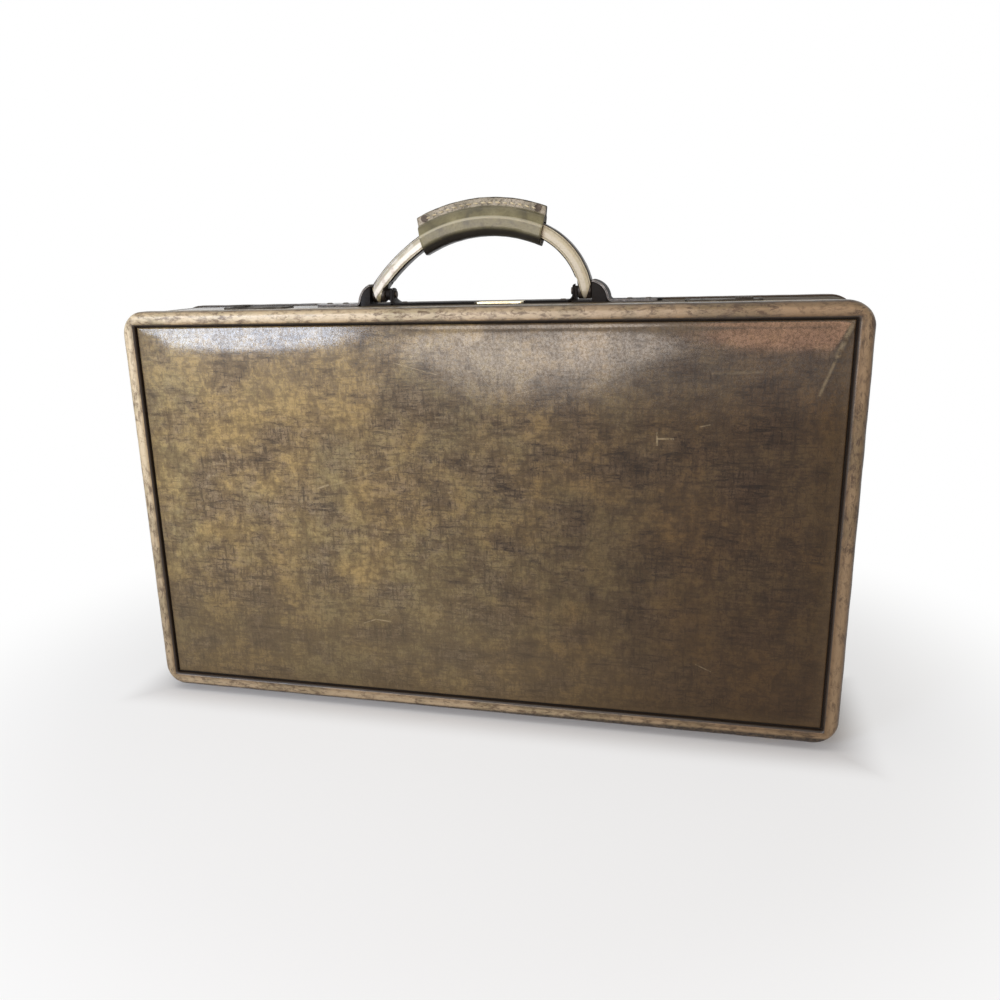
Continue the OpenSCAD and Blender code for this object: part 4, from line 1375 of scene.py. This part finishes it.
@dataclass
class Handle:
    """The handle: a strap core with pale facings on its legs, round eyes, and the sewn grip."""

    grip_finish: Material
    edge_finish: Material
    core_finish: Material
    thread_finish: Material
    end_shear: float = math.radians(12.6)
    end_round: float = 0.0004
    grip_steps: int = 56
    cavity: float = 0.0068
    room_t: float = 0.0008
    room_w: float = 0.0012
    core_t: float = 0.0090
    core_w: float = 0.0100
    core_step: float = 0.0004
    facing_t: float = 0.00028
    facing_edge: float = 0.0008
    facing_bed: float = 0.0006
    tip_length: float = 0.0115
    tip_angle: float = math.radians(80)
    turn_length: float = 0.010
    eye_r: float = 0.0050
    eye_w: float = 0.0092
    bore_r: float = 0.00248
    notch_r: float = 0.0086
    notch_x: float = 0.0620
    stitch_out: float = 0.0112
    stitch_pitch: float = 0.0044
    stitch_length: float = 0.0034
    stitch_r: float = 0.00052
    fin_half: float = 0.0022
    fin_top: float = 0.0146
    fin_edge: float = 0.0139
    fin_end: float = 0.0075
    stitch_slant: float = math.radians(11)
    stitch_wander: float = 0.00022
    stitch_proud: float = 0.00026

    def __post_init__(self) -> None:
        """Lay the handle's centre line from the frame."""
        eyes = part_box("handle_bushes")
        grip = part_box("handle_grip")
        self.mid_y = (eyes[0].y + eyes[1].y) / 2
        self.arch = Arch(
            left_x=eyes[0].x + self.eye_w / 2,
            right_x=eyes[1].x - self.eye_w / 2,
            pivot_z=(eyes[0].z + eyes[1].z) / 2,
            crown_z=grip[1].z - self.fin_top,
        )

    def grip_section(self) -> Outline:
        """Give the grip's section, out from the centre line and across it."""
        half = [
            (14.5, 0.30, 0.2),
            (14.5, 2.1, 0.7),
            (9.4, 2.5, 1.2),
            (8.2, 5.2, 2.4),
            (2.9, 7.4, 0.6),
            (2.2, 8.45, 0.9),
            (-4.0, 8.3, 4.4),
            (-8.9, 5.0, 4.0),
        ]
        front = [(u * MM, -v * MM, r * MM) for u, v, r in half]
        back = [(u * MM, v * MM, r * MM) for u, v, r in reversed(half)]
        return filleted([(13.6 * MM, 0.0, 0.0)] + front + back, 5)

    def grip_ring(self, section: Outline, share: float, inset: float = 0.0) -> list[Vector]:
        """Place the grip's section at a share of the way from its middle to an end.

        Args:
            section: Section to place.
            share: From -1 at the left end to 1 at the right end.
            inset: Distance along the arc back from that place, towards the middle.

        Returns:
            The ring's places.
        """
        arch = self.arch
        places = []
        for out, across in section:
            reach = arch.grip_half - self.end_shear * out / arch.grip_r
            lean = share * reach - math.copysign(inset, share) / arch.grip_r - arch.tilt
            station = arc_station(*arch.centre, arch.grip_r, lean)
            places.append(station.point(out, self.mid_y + across))
        return places

    def hollow(self, section: Outline) -> Outline:
        """Draw a section in to the room round the core."""
        room = []
        semi_out, semi_across = self.core_t / 2 + self.room_t, self.core_w / 2 + self.room_w
        for out, across in section:
            scale = ((out / semi_out) ** 4 + (across / semi_across) ** 4) ** -0.25
            room.append((out * scale, across * scale))
        return room

    def build_grip(self) -> Piece:
        """Build the grip as a tube of leather with open ends.

        Returns:
            The piece.
        """
        section = self.grip_section()
        room = self.hollow(section)
        eased = [(u * 0.985, v * 0.97) for u, v in section]
        bm = bmesh.new()
        sweep = Sweep(bm, self.grip_ring(room, -1, self.cavity))
        sweep.cap(2)
        sweep.advance(self.grip_ring(room, -1), 2)
        sweep.advance(self.grip_ring(eased, -1), 1)
        sweep.advance(self.grip_ring(section, -1, self.end_round))
        for k in range(1, self.grip_steps):
            sweep.advance(self.grip_ring(section, -1 + 2 * k / self.grip_steps))
        sweep.advance(self.grip_ring(section, 1, self.end_round))
        sweep.advance(self.grip_ring(eased, 1))
        sweep.advance(self.grip_ring(room, 1), 1)
        sweep.advance(self.grip_ring(room, 1, self.cavity), 2)
        sweep.cap(2)
        outward(bm)
        centre = Vector((self.arch.centre[0], self.mid_y, self.arch.centre[1]))
        for face in bm.faces:
            spoke = face.calc_center_median() - centre
            if math.hypot(spoke.x, spoke.z) > self.arch.grip_r + self.fin_edge:
                face.material_index = 1
        roughen(bm, 0.00022, 140, 5.5)
        roughen(bm, 0.00010, 420, 2.5)
        finishes = [self.grip_finish, self.edge_finish, self.core_finish]
        return present(bm, "grip_leather_wrap", "handle", Slot.GRIP, finishes, 42, "handle_grip")

    def build_core(self) -> Piece:
        """Build the strap core from foot to foot, with its two eyes.

        Returns:
            The piece.
        """
        arch = self.arch
        inner = arch.grip_half - arch.leg_inset
        leans = [inner * k / 10 - arch.tilt for k in range(-9, 10)]
        inside = [arc_station(*arch.centre, arch.grip_r, lean) for lean in leans]
        thick = rounded_bar(self.core_t, self.core_w, 0.0018, 4)
        thin = rounded_bar(self.core_t - 2 * self.core_step, self.core_w - 2 * self.core_step, 0.0016, 4)
        rings = []
        for stations, section in (
            (reversed(arch.leg(Side.LEFT, 30)), thick),
            (inside, thin),
            (arch.leg(Side.RIGHT, 30), thick),
        ):
            rings += [[s.point(u, self.mid_y + v) for u, v in section] for s in stations]
        bm = bmesh.new()
        draw_bar(bm, rings)
        for side in Side:
            self.add_eye(bm, side)
        outward(bm)
        roughen(bm, 0.00010, 180, 6.6)
        self.clear_cheeks(bm)
        return present(bm, "handle_strap_core", "handle", Slot.HANDLE, [self.core_finish], 45, "handle_core")

    def clear_cheeks(self, bm: Mesh) -> None:
        """Press the leather near the pivots out of the way of the inner cheeks."""
        for vert in bm.verts:
            near = math.hypot(vert.co.y - self.mid_y, vert.co.z - self.arch.pivot_z) < self.notch_r
            if near and abs(vert.co.x) < self.notch_x:
                vert.co.x = math.copysign(self.notch_x, vert.co.x)

    def add_eye(self, bm: Mesh, side: Side) -> None:
        """Turn an eye round the pivot.

        Args:
            bm: Mesh to add it to.
            side: Side of the eye.
        """
        axis_x = self.arch.eye_x(side)
        half = self.eye_w / 2
        bore, rim = (self.bore_r, 0.0002), (self.eye_r, 0.0012)
        section = filleted([(-half, *bore), (-half, *rim), (half, *rim), (half, *bore)])
        ring = [bm.verts.new((axis_x + a, self.mid_y, self.arch.pivot_z + r)) for a, r in section]
        loop = [bm.edges.new(pair) for pair in zip(ring, ring[1:] + ring[:1])]
        bmesh.ops.spin(
            bm,
            geom=ring + loop,
            cent=(axis_x, self.mid_y, self.arch.pivot_z),
            axis=(1, 0, 0),
            angle=2 * math.pi,
            steps=40,
            use_merge=True,
        )

    def facing_path(self, side: Side) -> list[tuple[Vector, Vector, Vector]]:
        """Lay the middle of a leg's facing, down the leg and round the lower part of the eye.

        Args:
            side: Side of the leg.

        Returns:
            Place on the leg's face, direction across and direction outwards, from y = 0.
        """
        stations = self.arch.leg(side, 44)
        lengths = [0.0]
        for here, there in zip(stations, stations[1:]):
            lengths.append(lengths[-1] + math.hypot(there.x - here.x, there.z - here.z))
        path = []
        for station, run in zip(stations, lengths):
            share = min(1.0, max(0.0, 1 - (lengths[-1] - run) / self.turn_length))
            lean = station.lean + (side.value * math.pi / 2 - station.lean) * share * share * (3 - 2 * share)
            across = Vector((math.sin(lean), 0.0, math.cos(lean)))
            path.append((station.point(0.0, -self.core_w / 2), across, Vector((0.0, -1.0, 0.0))))
        for k in range(11):
            angle = self.tip_angle * k / 10
            out = Vector((0.0, -math.cos(angle), -math.sin(angle)))
            place = Vector((self.arch.eye_x(side), 0.0, self.arch.pivot_z)) + out * self.eye_r
            path.append((place, Vector((side.value, 0.0, 0.0)), out))
        return path

    def build_facing(self, side: Side) -> Piece:
        """Build the pale facings on the front and back of a leg, each cut to a point at the foot.

        Args:
            side: Side of the leg.

        Returns:
            The piece.
        """
        path = self.facing_path(side)
        left = [0.0]
        for (here, _, _), (there, _, _) in zip(reversed(path), reversed(path[:-1])):
            left.insert(0, left[0] + (there - here).length)
        bm = bmesh.new()
        for turned in (1, -1):
            rings = []
            for (place, across, out), rest in zip(path, left):
                half = (self.core_t / 2 - self.facing_edge) * min(1.0, 0.05 + rest / self.tip_length)
                curve = [(half * (1 - j / 4), self.facing_t * (1 - 0.6 * (1 - j / 4) ** 2)) for j in range(9)]
                ring = []
                for a, n in [(half, -self.facing_bed)] + curve + [(-half, -self.facing_bed)]:
                    spot = place + across * a + out * n
                    ring.append(Vector((spot.x, self.mid_y + turned * spot.y, spot.z)))
                rings.append(ring)
            draw_bar(bm, rings)
        outward(bm)
        self.clear_cheeks(bm)
        # Painted light: the cream is lighter on the left leg and darker on the right, as the light falls.
        cream = tone(248, 243, 232) if side is Side.LEFT else tone(178, 170, 148)
        name = "leg_leather_" + side.title
        finish = LegLeather(name, self.arch.leg_centre(side), self.arch.leg_r(side), cream).build()
        return present(bm, "leg_facing_" + side.title, "handle", Slot.HANDLE, [finish], 50)

    def build_stitches(self) -> Piece:
        """Sew the fin with slanting stitches on both of its sides.

        Returns:
            The piece.
        """
        arch = self.arch
        radius = arch.grip_r + self.stitch_out
        reach = arch.grip_half - self.end_shear * self.stitch_out / arch.grip_r - self.fin_end / radius
        count = int(2 * reach * radius / self.stitch_pitch)
        stand = self.fin_half + self.stitch_proud
        bm = bmesh.new()
        for k in range(count + 1):
            lean = -reach + 2 * reach * k / count - arch.tilt
            station = arc_station(*arch.centre, arch.grip_r, lean)
            for turned in (-1, 1):
                wander = self.stitch_wander * noise.noise(Vector((k * 0.73, turned * 3.0, 0.0)))
                middle = station.point(self.stitch_out + wander, self.mid_y + turned * stand)
                slant = Matrix.Rotation(lean + self.stitch_slant, 4, "Y")
                shape = Matrix.Diagonal((self.stitch_length / 2, self.stitch_r, self.stitch_r, 1.0))
                place = Matrix.Translation(middle) @ slant @ shape
                bmesh.ops.create_uvsphere(bm, u_segments=8, v_segments=6, radius=1.0, matrix=place)
        return present(bm, "grip_stitches", "handle", Slot.GRIP, [self.thread_finish], 80)

    def build(self) -> None:
        """Build every piece of the handle."""
        self.build_core()
        for side in Side:
            self.build_facing(side)
        self.build_grip()
        self.build_stitches()


@dataclass
class HandleMount:
    """A mount of the handle: layered straps that rise from the top wall on both sides of the eye."""

    side: Side
    face_finish: Material
    edge_finish: Material
    arch: Arch
    mid_y: float
    layer_t: float = 0.00064
    layer_gap: float = 0.00008
    layer_round: float = 0.00025
    strap_t: float = 0.0014
    width: float = 0.017
    dome_h: float = 0.0124
    dome_foot: float = 0.0012
    dome_steps: int = 16
    dome_x: float = 0.0822
    eye_gap: float = 0.0004
    eye_half: float = 0.0046
    gap_in: float = 0.0616
    cheek_x: float = 0.0588
    cheek_w: float = 0.0084
    washer_r: float = 0.0040
    washer_t: float = 0.0010
    flare_r: float = 0.0031
    foot_r: float = 0.0022
    lift: float = math.radians(1.2)
    head_r: float = 0.0014
    side_turn: float = 0.75
    dome_tuck: float = 0.0012
    cheek_tuck: float = 0.0014
    head_tuck: float = 0.0012
    bed_tuck: float = 0.0010
    bed_lap: float = 0.0020
    bed_drop: float = 0.0004
    overlap: float = 0.0002
    washer_step: float = 0.0003
    washer_gap: float = 0.00008

    def __post_init__(self) -> None:
        """Take the mount's reach from the frame."""
        low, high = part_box("handle_mount_" + self.side.title)
        self.floor_z = low.z
        self.tail_x, self.flap_x = sorted((abs(low.x), abs(high.x)))
        self.gap_out = abs(self.arch.eye_x(self.side)) + self.eye_half + self.eye_gap
        reach = self.dome_x - self.gap_out
        self.dome_r = (self.dome_h ** 2 + reach ** 2) / (2 * reach)
        self.top_z = self.floor_z + self.strap_t

    def layer(self, bm: Mesh, route: Route, depth: float, half_width: Callable[[Station], float]) -> None:
        """Lay one layer of leather along a route.

        Args:
            bm: Mesh to add it to.
            route: Route of the strap's outer face.
            depth: How far the layer's face lies under the route.
            half_width: Half width of the strap at a station.
        """
        rings = []
        middle = -depth - self.layer_t / 2
        for station in route.stations:
            outline = rounded_bar(self.layer_t, 2 * half_width(station), self.layer_round, 2, middle)
            rings.append([station.point(u, self.mid_y + v) for u, v in outline])
        draw_bar(bm, rings, 1)

    def outer_route(self) -> Route:
        """Lay the outer strap: over the dome, down its back and out along the wall."""
        centre_x = self.dome_x - self.dome_r
        centre_z = self.floor_z + self.dome_foot
        start = math.asin((self.gap_out - centre_x) / self.dome_r)
        foot = math.acos((self.top_z + self.foot_r - centre_z) / (self.dome_r + self.foot_r))
        first = arc_station(centre_x, centre_z, self.dome_r, start)
        route = Route(first.x, first.z, first.lean)
        route.bend(self.dome_r, foot - start, self.dome_steps)
        route.bend(self.foot_r, -foot, 10)
        run = self.flap_x - route.stations[-1].x
        route.line(run * 0.55, 6)
        route.bend(run * 0.45 / self.lift, -self.lift, 14)
        return route

    def inner_route(self) -> Route:
        """Lay the inner strap: in along the wall, up the inner cheek and over its top."""
        route = Route(self.tail_x, self.top_z, 0.0)
        route.line(self.cheek_x - self.flare_r - self.tail_x, 10)
        route.bend(self.flare_r, -math.pi / 2, 12)
        route.line(self.arch.pivot_z + self.cheek_w / 2 - self.head_r - route.stations[-1].z, 8)
        route.bend(self.head_r, math.pi / 2, 6)
        return route

    def outer_width(self, station: Station) -> float:
        """Give the outer strap's half width, drawn in to a round end."""
        half = self.width / 2
        past = station.x - (self.flap_x - half)
        return half if past <= 0 else max(0.0004, math.sqrt(max(0.0, half * half - past * past)))

    def inner_width(self, station: Station) -> float:
        """Give the inner strap's half width: full on the wall and narrow round the pivot."""
        over = station.z - self.arch.pivot_z
        half = self.cheek_w / 2
        if over > 0:
            return max(0.0012, math.sqrt(max(0.0, half * half - (over * 0.85) ** 2)))
        share = min(1.0, max(0.0, (station.z - self.top_z) / self.flare_r))
        share = share * share * (3 - 2 * share)
        return self.width / 2 + (half - self.width / 2) * share

    def filler(self, bm: Mesh, outline: Sequence[Spot], width: float) -> None:
        """Fill a profile in the X-Z plane with solid leather.

        Args:
            bm: Mesh to add it to.
            outline: Profile as X and Z.
            width: Width of the filler.
        """
        ring = [Vector((x, self.mid_y - width / 2, z)) for x, z in outline]
        draw_bar(bm, [ring, [place + Vector((0.0, width, 0.0)) for place in ring]])

    def add_washers(self, bm: Mesh) -> None:
        """Fill the pin's free length beside the inner cheek with leather washers."""
        room = abs(self.arch.eye_x(self.side)) - self.eye_half - self.eye_gap - self.gap_in
        count = int(room / self.washer_t)
        turn = Matrix.Rotation(math.pi / 2, 4, "Y")
        for k in range(count):
            x = self.gap_in + room * (k + 0.5) / count
            place = Matrix.Translation((x, self.mid_y, self.arch.pivot_z)) @ turn
            radius = self.washer_r - self.washer_step * (k % 2)
            depth = room / count - self.washer_gap
            bmesh.ops.create_cone(
                bm, cap_ends=True, segments=32, radius1=radius, radius2=radius, depth=depth, matrix=place
            )

    def build(self) -> Piece:
        """Build the mount.

        Returns:
            The piece.
        """
        bm = bmesh.new()
        outer, inner = self.outer_route(), self.inner_route()
        under = self.layer_t + self.layer_gap
        for depth in (0.0, under):
            self.layer(bm, outer, depth, self.outer_width)
            self.layer(bm, inner, depth, self.inner_width)
        bm.normal_update()
        for face in bm.faces:
            if abs(face.normal.y) > self.side_turn and face.calc_center_median().x > self.gap_out - 0.001:
                face.material_index = 1
        sunk = 2 * under
        dome = outer.stations[: self.dome_steps + 1]
        arc = [(s.x - sunk * math.sin(s.lean), s.z - sunk * math.cos(s.lean)) for s in dome]
        arc += [(arc[-1][0], self.floor_z), (self.gap_out, self.floor_z)]
        self.filler(bm, arc, self.width - self.dome_tuck)
        cheek_x = self.cheek_x + sunk - self.overlap
        top = self.arch.pivot_z + self.cheek_w / 2 - self.head_tuck
        block = [(cheek_x, self.floor_z), (self.gap_in, self.floor_z), (self.gap_in, top), (cheek_x, top)]
        self.filler(bm, block, self.cheek_w - self.cheek_tuck)
        x0, x1, z1 = self.gap_in - self.bed_lap, self.gap_out + self.bed_lap, self.top_z - self.bed_drop
        bed = [(x0, self.floor_z), (x1, self.floor_z), (x1, z1), (x0, z1)]
        self.filler(bm, bed, self.width - self.bed_tuck)
        self.add_washers(bm)
        bmesh.ops.recalc_face_normals(bm, faces=bm.faces)
        if self.side is Side.LEFT:
            bmesh.ops.scale(bm, vec=(-1, 1, 1), verts=bm.verts)
            bmesh.ops.recalc_face_normals(bm, faces=bm.faces)
        name = "mount_straps_" + self.side.title
        finishes = [self.face_finish, self.edge_finish]
        return present(bm, name, "base", Slot.MOUNT, finishes, 40, "handle_mount_" + self.side.title)


@dataclass(frozen=True)
class Lamp:
    """A soft round lamp: where it hangs, the point it looks at, its size, power in watts and hue."""

    name: str
    place: Triple
    aim: Triple
    size: Spot
    power: float
    hue: Triple

    def hang(self) -> None:
        """Hang the lamp in the scene."""
        data = bpy.data.lights.new(self.name, "AREA")
        data.shape = "ELLIPSE"
        data.size, data.size_y = self.size
        data.energy = self.power
        data.color = self.hue
        lamp = link(self.name, data)
        lamp.location = self.place
        lamp.rotation_mode = "QUATERNION"
        lamp.rotation_quaternion = (Vector(self.aim) - Vector(self.place)).to_track_quat("-Z", "Y")


@dataclass
class Studio:
    """Pale floor, soft light and the camera at the photograph's viewing angle."""

    floor_tone: Colour = tone(236, 235, 233)
    floor_half: float = 6.0
    ambient: float = 0.36
    stand: Spot = (0.2285, 0.043)
    near_rise: Spot = (-0.004, 0.030)
    far_rise: Spot = (0.24, 0.46)
    glow_shares: Triple = (0.06, 0.56, 0.38)
    sensor: float = 36.0
    lens: float = 32.43
    shift: Spot = (0.0330, 0.01826)
    camera_place: Triple = (0.13728, -0.56719, 0.29338)
    camera_right: Triple = (0.96936, 0.24400, -0.02824)
    camera_up: Triple = (-0.04068, 0.27286, 0.96119)
    lamps: tuple[Lamp, ...] = (
        Lamp("window", (-0.70, -1.09, 0.46), (-0.12, -0.04, 0.25), (0.40, 0.44), 8.0, (0.70, 0.81, 1.0)),
        Lamp("door", (-0.17, -1.24, 0.28), (0.04, -0.04, 0.24), (0.54, 0.50), 5.6, (1.0, 0.89, 0.79)),
        Lamp("warm_wall", (0.30, -1.25, 0.40), (0.18, -0.04, 0.25), (0.30, 0.34), 1.7, (1.0, 0.50, 0.27)),
        Lamp("ceiling", (-0.30, -0.35, 1.5), (0.0, -0.04, 0.15), (1.2, 1.0), 4.5, (1.0, 0.98, 0.95)),
    )

    def build_world(self) -> None:
        """Make the background white for the camera and an even soft light for the rest."""
        world = bpy.data.worlds.new("studio")
        bpy.context.scene.world = world
        graph = Graph(world)
        strength = graph.add("MapRange", {"Value": graph.seen(), "To Min": self.ambient})
        graph.end("OutputWorld", graph.add("Background", {"Color": WHITE, "Strength": strength}))

    def build_floor(self) -> None:
        """Lay the floor, which keeps the case's shadow and looks white round it."""
        graph = Graph(bpy.data.materials.new("studio_floor"))
        x, y, _ = graph.axes()
        reach = graph.vector("LENGTH", graph.place, output="Value")
        clear = (abs(x) - self.stand[0]).most(abs(y) - self.stand[1]).rise(*self.near_rise)
        least, near, far = self.glow_shares
        share = least + near * clear + far * reach.rise(*self.far_rise)
        paint = graph.add("BsdfDiffuse", {"Color": self.floor_tone})
        glow = graph.add("Emission", {"Color": WHITE, "Strength": 1.0})
        graph.end("OutputMaterial", graph.add("MixShader", {0: graph.seen() * share, 1: paint, 2: glow}))
        bm = bmesh.new()
        bmesh.ops.create_grid(bm, x_segments=1, y_segments=1, size=self.floor_half)
        floor = to_object(bm, "studio_floor", [graph.owner])

    def build_camera(self) -> None:
        """Stand the camera where the photograph was taken from."""
        data = bpy.data.cameras.new("camera")
        data.sensor_width = self.sensor
        data.lens = self.lens
        data.shift_x, data.shift_y = self.shift
        camera = link("camera", data)
        right = Vector(self.camera_right)
        back = right.cross(Vector(self.camera_up)).normalized()
        up = back.cross(right).normalized()
        turn = Matrix((right.normalized(), up, back)).transposed()
        camera.matrix_world = Matrix.Translation(self.camera_place) @ turn.to_4x4()
        bpy.context.scene.camera = camera

    def build(self) -> None:
        """Build the whole studio."""
        self.build_camera()
        self.build_world()
        self.build_floor()
        for lamp in self.lamps:
            lamp.hang()
        bpy.context.scene.view_settings.view_transform = "Standard"


class CaseDresser:
    """Gives the frame's own nodes their finishes."""

    finishes: tuple[Finish, ...] = (
        AgedMetal("rim_metal", tone(214, 196, 156), tone(186, 164, 122), tone(92, 76, 52)),
        AgedMetal("hinge_metal", tone(206, 188, 148), tone(172, 150, 110), tone(84, 70, 50)),
        AgedMetal("brass", tone(222, 190, 120), tone(184, 148, 86), tone(88, 66, 40)),
        AgedMetal("plate_brass", tone(250, 240, 206), tone(236, 220, 176), tone(170, 150, 110), 0.24),
        AgedMetal("steel", tone(196, 194, 190), tone(150, 148, 144), tone(84, 76, 68)),
        AgedMetal("dark_rivet", tone(92, 84, 76), tone(62, 56, 50), tone(34, 30, 28), 0.42),
        AgedMetal("tarnished_brass", tone(92, 88, 82), tone(64, 60, 54), tone(36, 34, 31), 0.5),
        PlyWood("wood"),
        # Painted shade: the board is near-black, as it is seen only in the gap round the panel.
        Fabric("board", tone(30, 24, 18), tone(20, 16, 12), 900, 0.9),
        Fabric("lining", tone(146, 112, 78), tone(112, 84, 56), 1400, 0.88),
        PlainLeather(
            "wall_leather",
            tone(66, 56, 42),
            tone(96, 84, 64),
            tone(38, 32, 26),
            patch_scale=40,
            wear=0.55,
            roughness=0.6,
            specular=0.1,
            coat=1.0,
            shine=WALL_SHINE,
        ),
        PlainLeather(
            "pocket_leather",
            tone(112, 80, 46),
            tone(138, 104, 64),
            tone(78, 54, 32),
            patch_scale=26,
            wear=0.5,
            roughness=0.5,
            specular=0.35,
            coat=0.1,
        ),
    )
    nodes: dict[str, str] = {
        "board": "lid_board base_board",
        "wood": "lid_walls base_walls",
        "wall_leather": "lid_skin base_skin",
        "lining": "lid_lining base_lining",
        "pocket_leather": "lid_pocket",
        "rim_metal": "lid_rim base_rim stay_brackets_lid stay_brackets_base stay_left stay_right",
        "hinge_metal": "hinge_leaf_lid hinge_leaf_base",
        "steel": "hinge_pin lock_staple_left lock_staple_right lock_case_left lock_case_right",
        "brass": "hinge_rivets_lid hinge_rivets_base handle_bushes feet_lid feet_base",
        "tarnished_brass": "lock_rivets lock_plate_left lock_plate_right lock_bolt_left lock_bolt_right",
        "plate_brass": "blank_plate",
        "dark_rivet": "mount_rivets grip_rivets handle_pins",
    }

    def build(self) -> None:
        """Build the finishes and assign them to the nodes' material slots."""
        for finish in self.finishes:
            material = finish.build()
            names = self.nodes[finish.name].split()
            for name in names:
                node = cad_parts[name]
                if not node.material_slots:
                    node.data.materials.append(material)
                for slot in node.material_slots:
                    slot.material = material
            LOG.info("%s on %d nodes of the frame", finish.name, len(names))


def face_pale_streaks(mid_z: float) -> tuple[PaleStreak, ...]:
    """Give the pale streaks on the lid's face, as measured from the top of the case: scrapes, and a painted
    highlight along the fold at the upper right corner.

    Args:
        mid_z: Height of the face's middle.

    Returns:
        The streaks.
    """
    top = mid_z + HALF_HEIGHT
    marks = (
        ((0.1156, -0.0732), (0.1158, -0.0803), 0.0009, 0.45),
        ((0.1158, -0.0767), (0.1248, -0.0766), 0.0009, 0.50),
        ((0.1453, -0.0393), (0.1714, -0.0381), 0.0015, 0.14),
        ((-0.0998, -0.1139), (-0.0914, -0.1110), 0.0011, 0.55),
        ((-0.0740, -0.2060), (-0.0640, -0.2022), 0.0006, 0.55),
        ((-0.0640, -0.2022), (-0.0540, -0.2030), 0.0006, 0.55),
        ((-0.0900, -0.1116), (-0.0520, -0.1000), 0.0006, 0.22),
        ((-0.0520, -0.1000), (-0.0420, -0.0960), 0.0012, 0.28),
        ((0.1395, -0.0693), (0.1450, -0.0681), 0.0006, 0.30),
        ((-0.0430, -0.0330), (-0.0160, -0.0400), 0.0005, 0.40),
        ((0.1430, -0.2170), (0.1520, -0.2210), 0.0005, 0.35),
        ((0.0300, -0.0520), (0.0520, -0.0470), 0.0005, 0.20),
        ((-0.1560, -0.0520), (-0.1540, -0.0700), 0.0004, 0.20),
        # The last two streaks are a painted highlight along the fold at the upper right corner.
        ((0.2165, -0.0120), (0.2100, -0.0295), 0.0022, 0.35),
        ((0.2100, -0.0295), (0.2024, -0.0506), 0.0014, 0.26),
    )
    return tuple(
        PaleStreak((x0, top + z0), (x1, top + z1), width, strength)
        for (x0, z0), (x1, z1), width, strength in marks
    )


def build_handle() -> None:
    """Build the handle and its two mounts."""
    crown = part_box("handle_grip")[1].z - Handle.fin_top
    core = PlainLeather(
        "core_leather",
        tone(40, 34, 28),
        tone(66, 56, 44),
        tone(22, 19, 17),
        patch_scale=120,
        wear=0.4,
        roughness=0.4,
        specular=0.35,
        coat=0.15,
    )
    strap = PlainLeather(
        "mount_leather",
        tone(26, 23, 21),
        tone(48, 42, 37),
        tone(14, 12, 12),
        patch_scale=130,
        wear=0.4,
        roughness=0.5,
        specular=0.12,
        coat=1.0,
        shine=MOUNT_SHINE,
    ).build()
    handle = Handle(
        GripLeather("grip_leather", (Arch.crown_x, crown - Arch.grip_r), Arch.grip_r).build(),
        RawEdge("grip_edge", tone(52, 46, 38), tone(132, 124, 106), tone(30, 27, 24)).build(),
        core.build(),
        WaxedThread("waxed_thread").build(),
    )
    handle.build()
    strap_edge = RawEdge("mount_edge", tone(140, 136, 132), tone(178, 174, 170), tone(44, 40, 38)).build()
    for side in Side:
        HandleMount(side, strap, strap_edge, handle.arch, handle.mid_y).build()


def main() -> None:
    """Build the case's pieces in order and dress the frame."""
    logging.basicConfig(level=logging.INFO, format="%(name)s: %(message)s")
    Studio().build()
    half_w, half_h, mid_z = span("lid_binding")
    w, h = half_w - PANEL_INSET, half_h - PANEL_INSET
    fold = Crease((w - FOLD_INSET, h - FOLD_INSET), FOLD_END)
    front = PanelLeather("panel_leather", w, h, mid_z, face_pale_streaks(mid_z)).build()
    back = PanelLeather("panel_leather_back", w, h, mid_z).build()
    FacePanel(Half.LID, front, (fold,)).build()
    FacePanel(Half.BASE, back).build()
    binding = BindingLeather("binding_leather", half_w, half_h, mid_z).build()
    for half in Half:
        RolledBinding(half, binding).build()
    build_handle()
    CaseDresser().build()


if __name__ == "__main__":
    main()
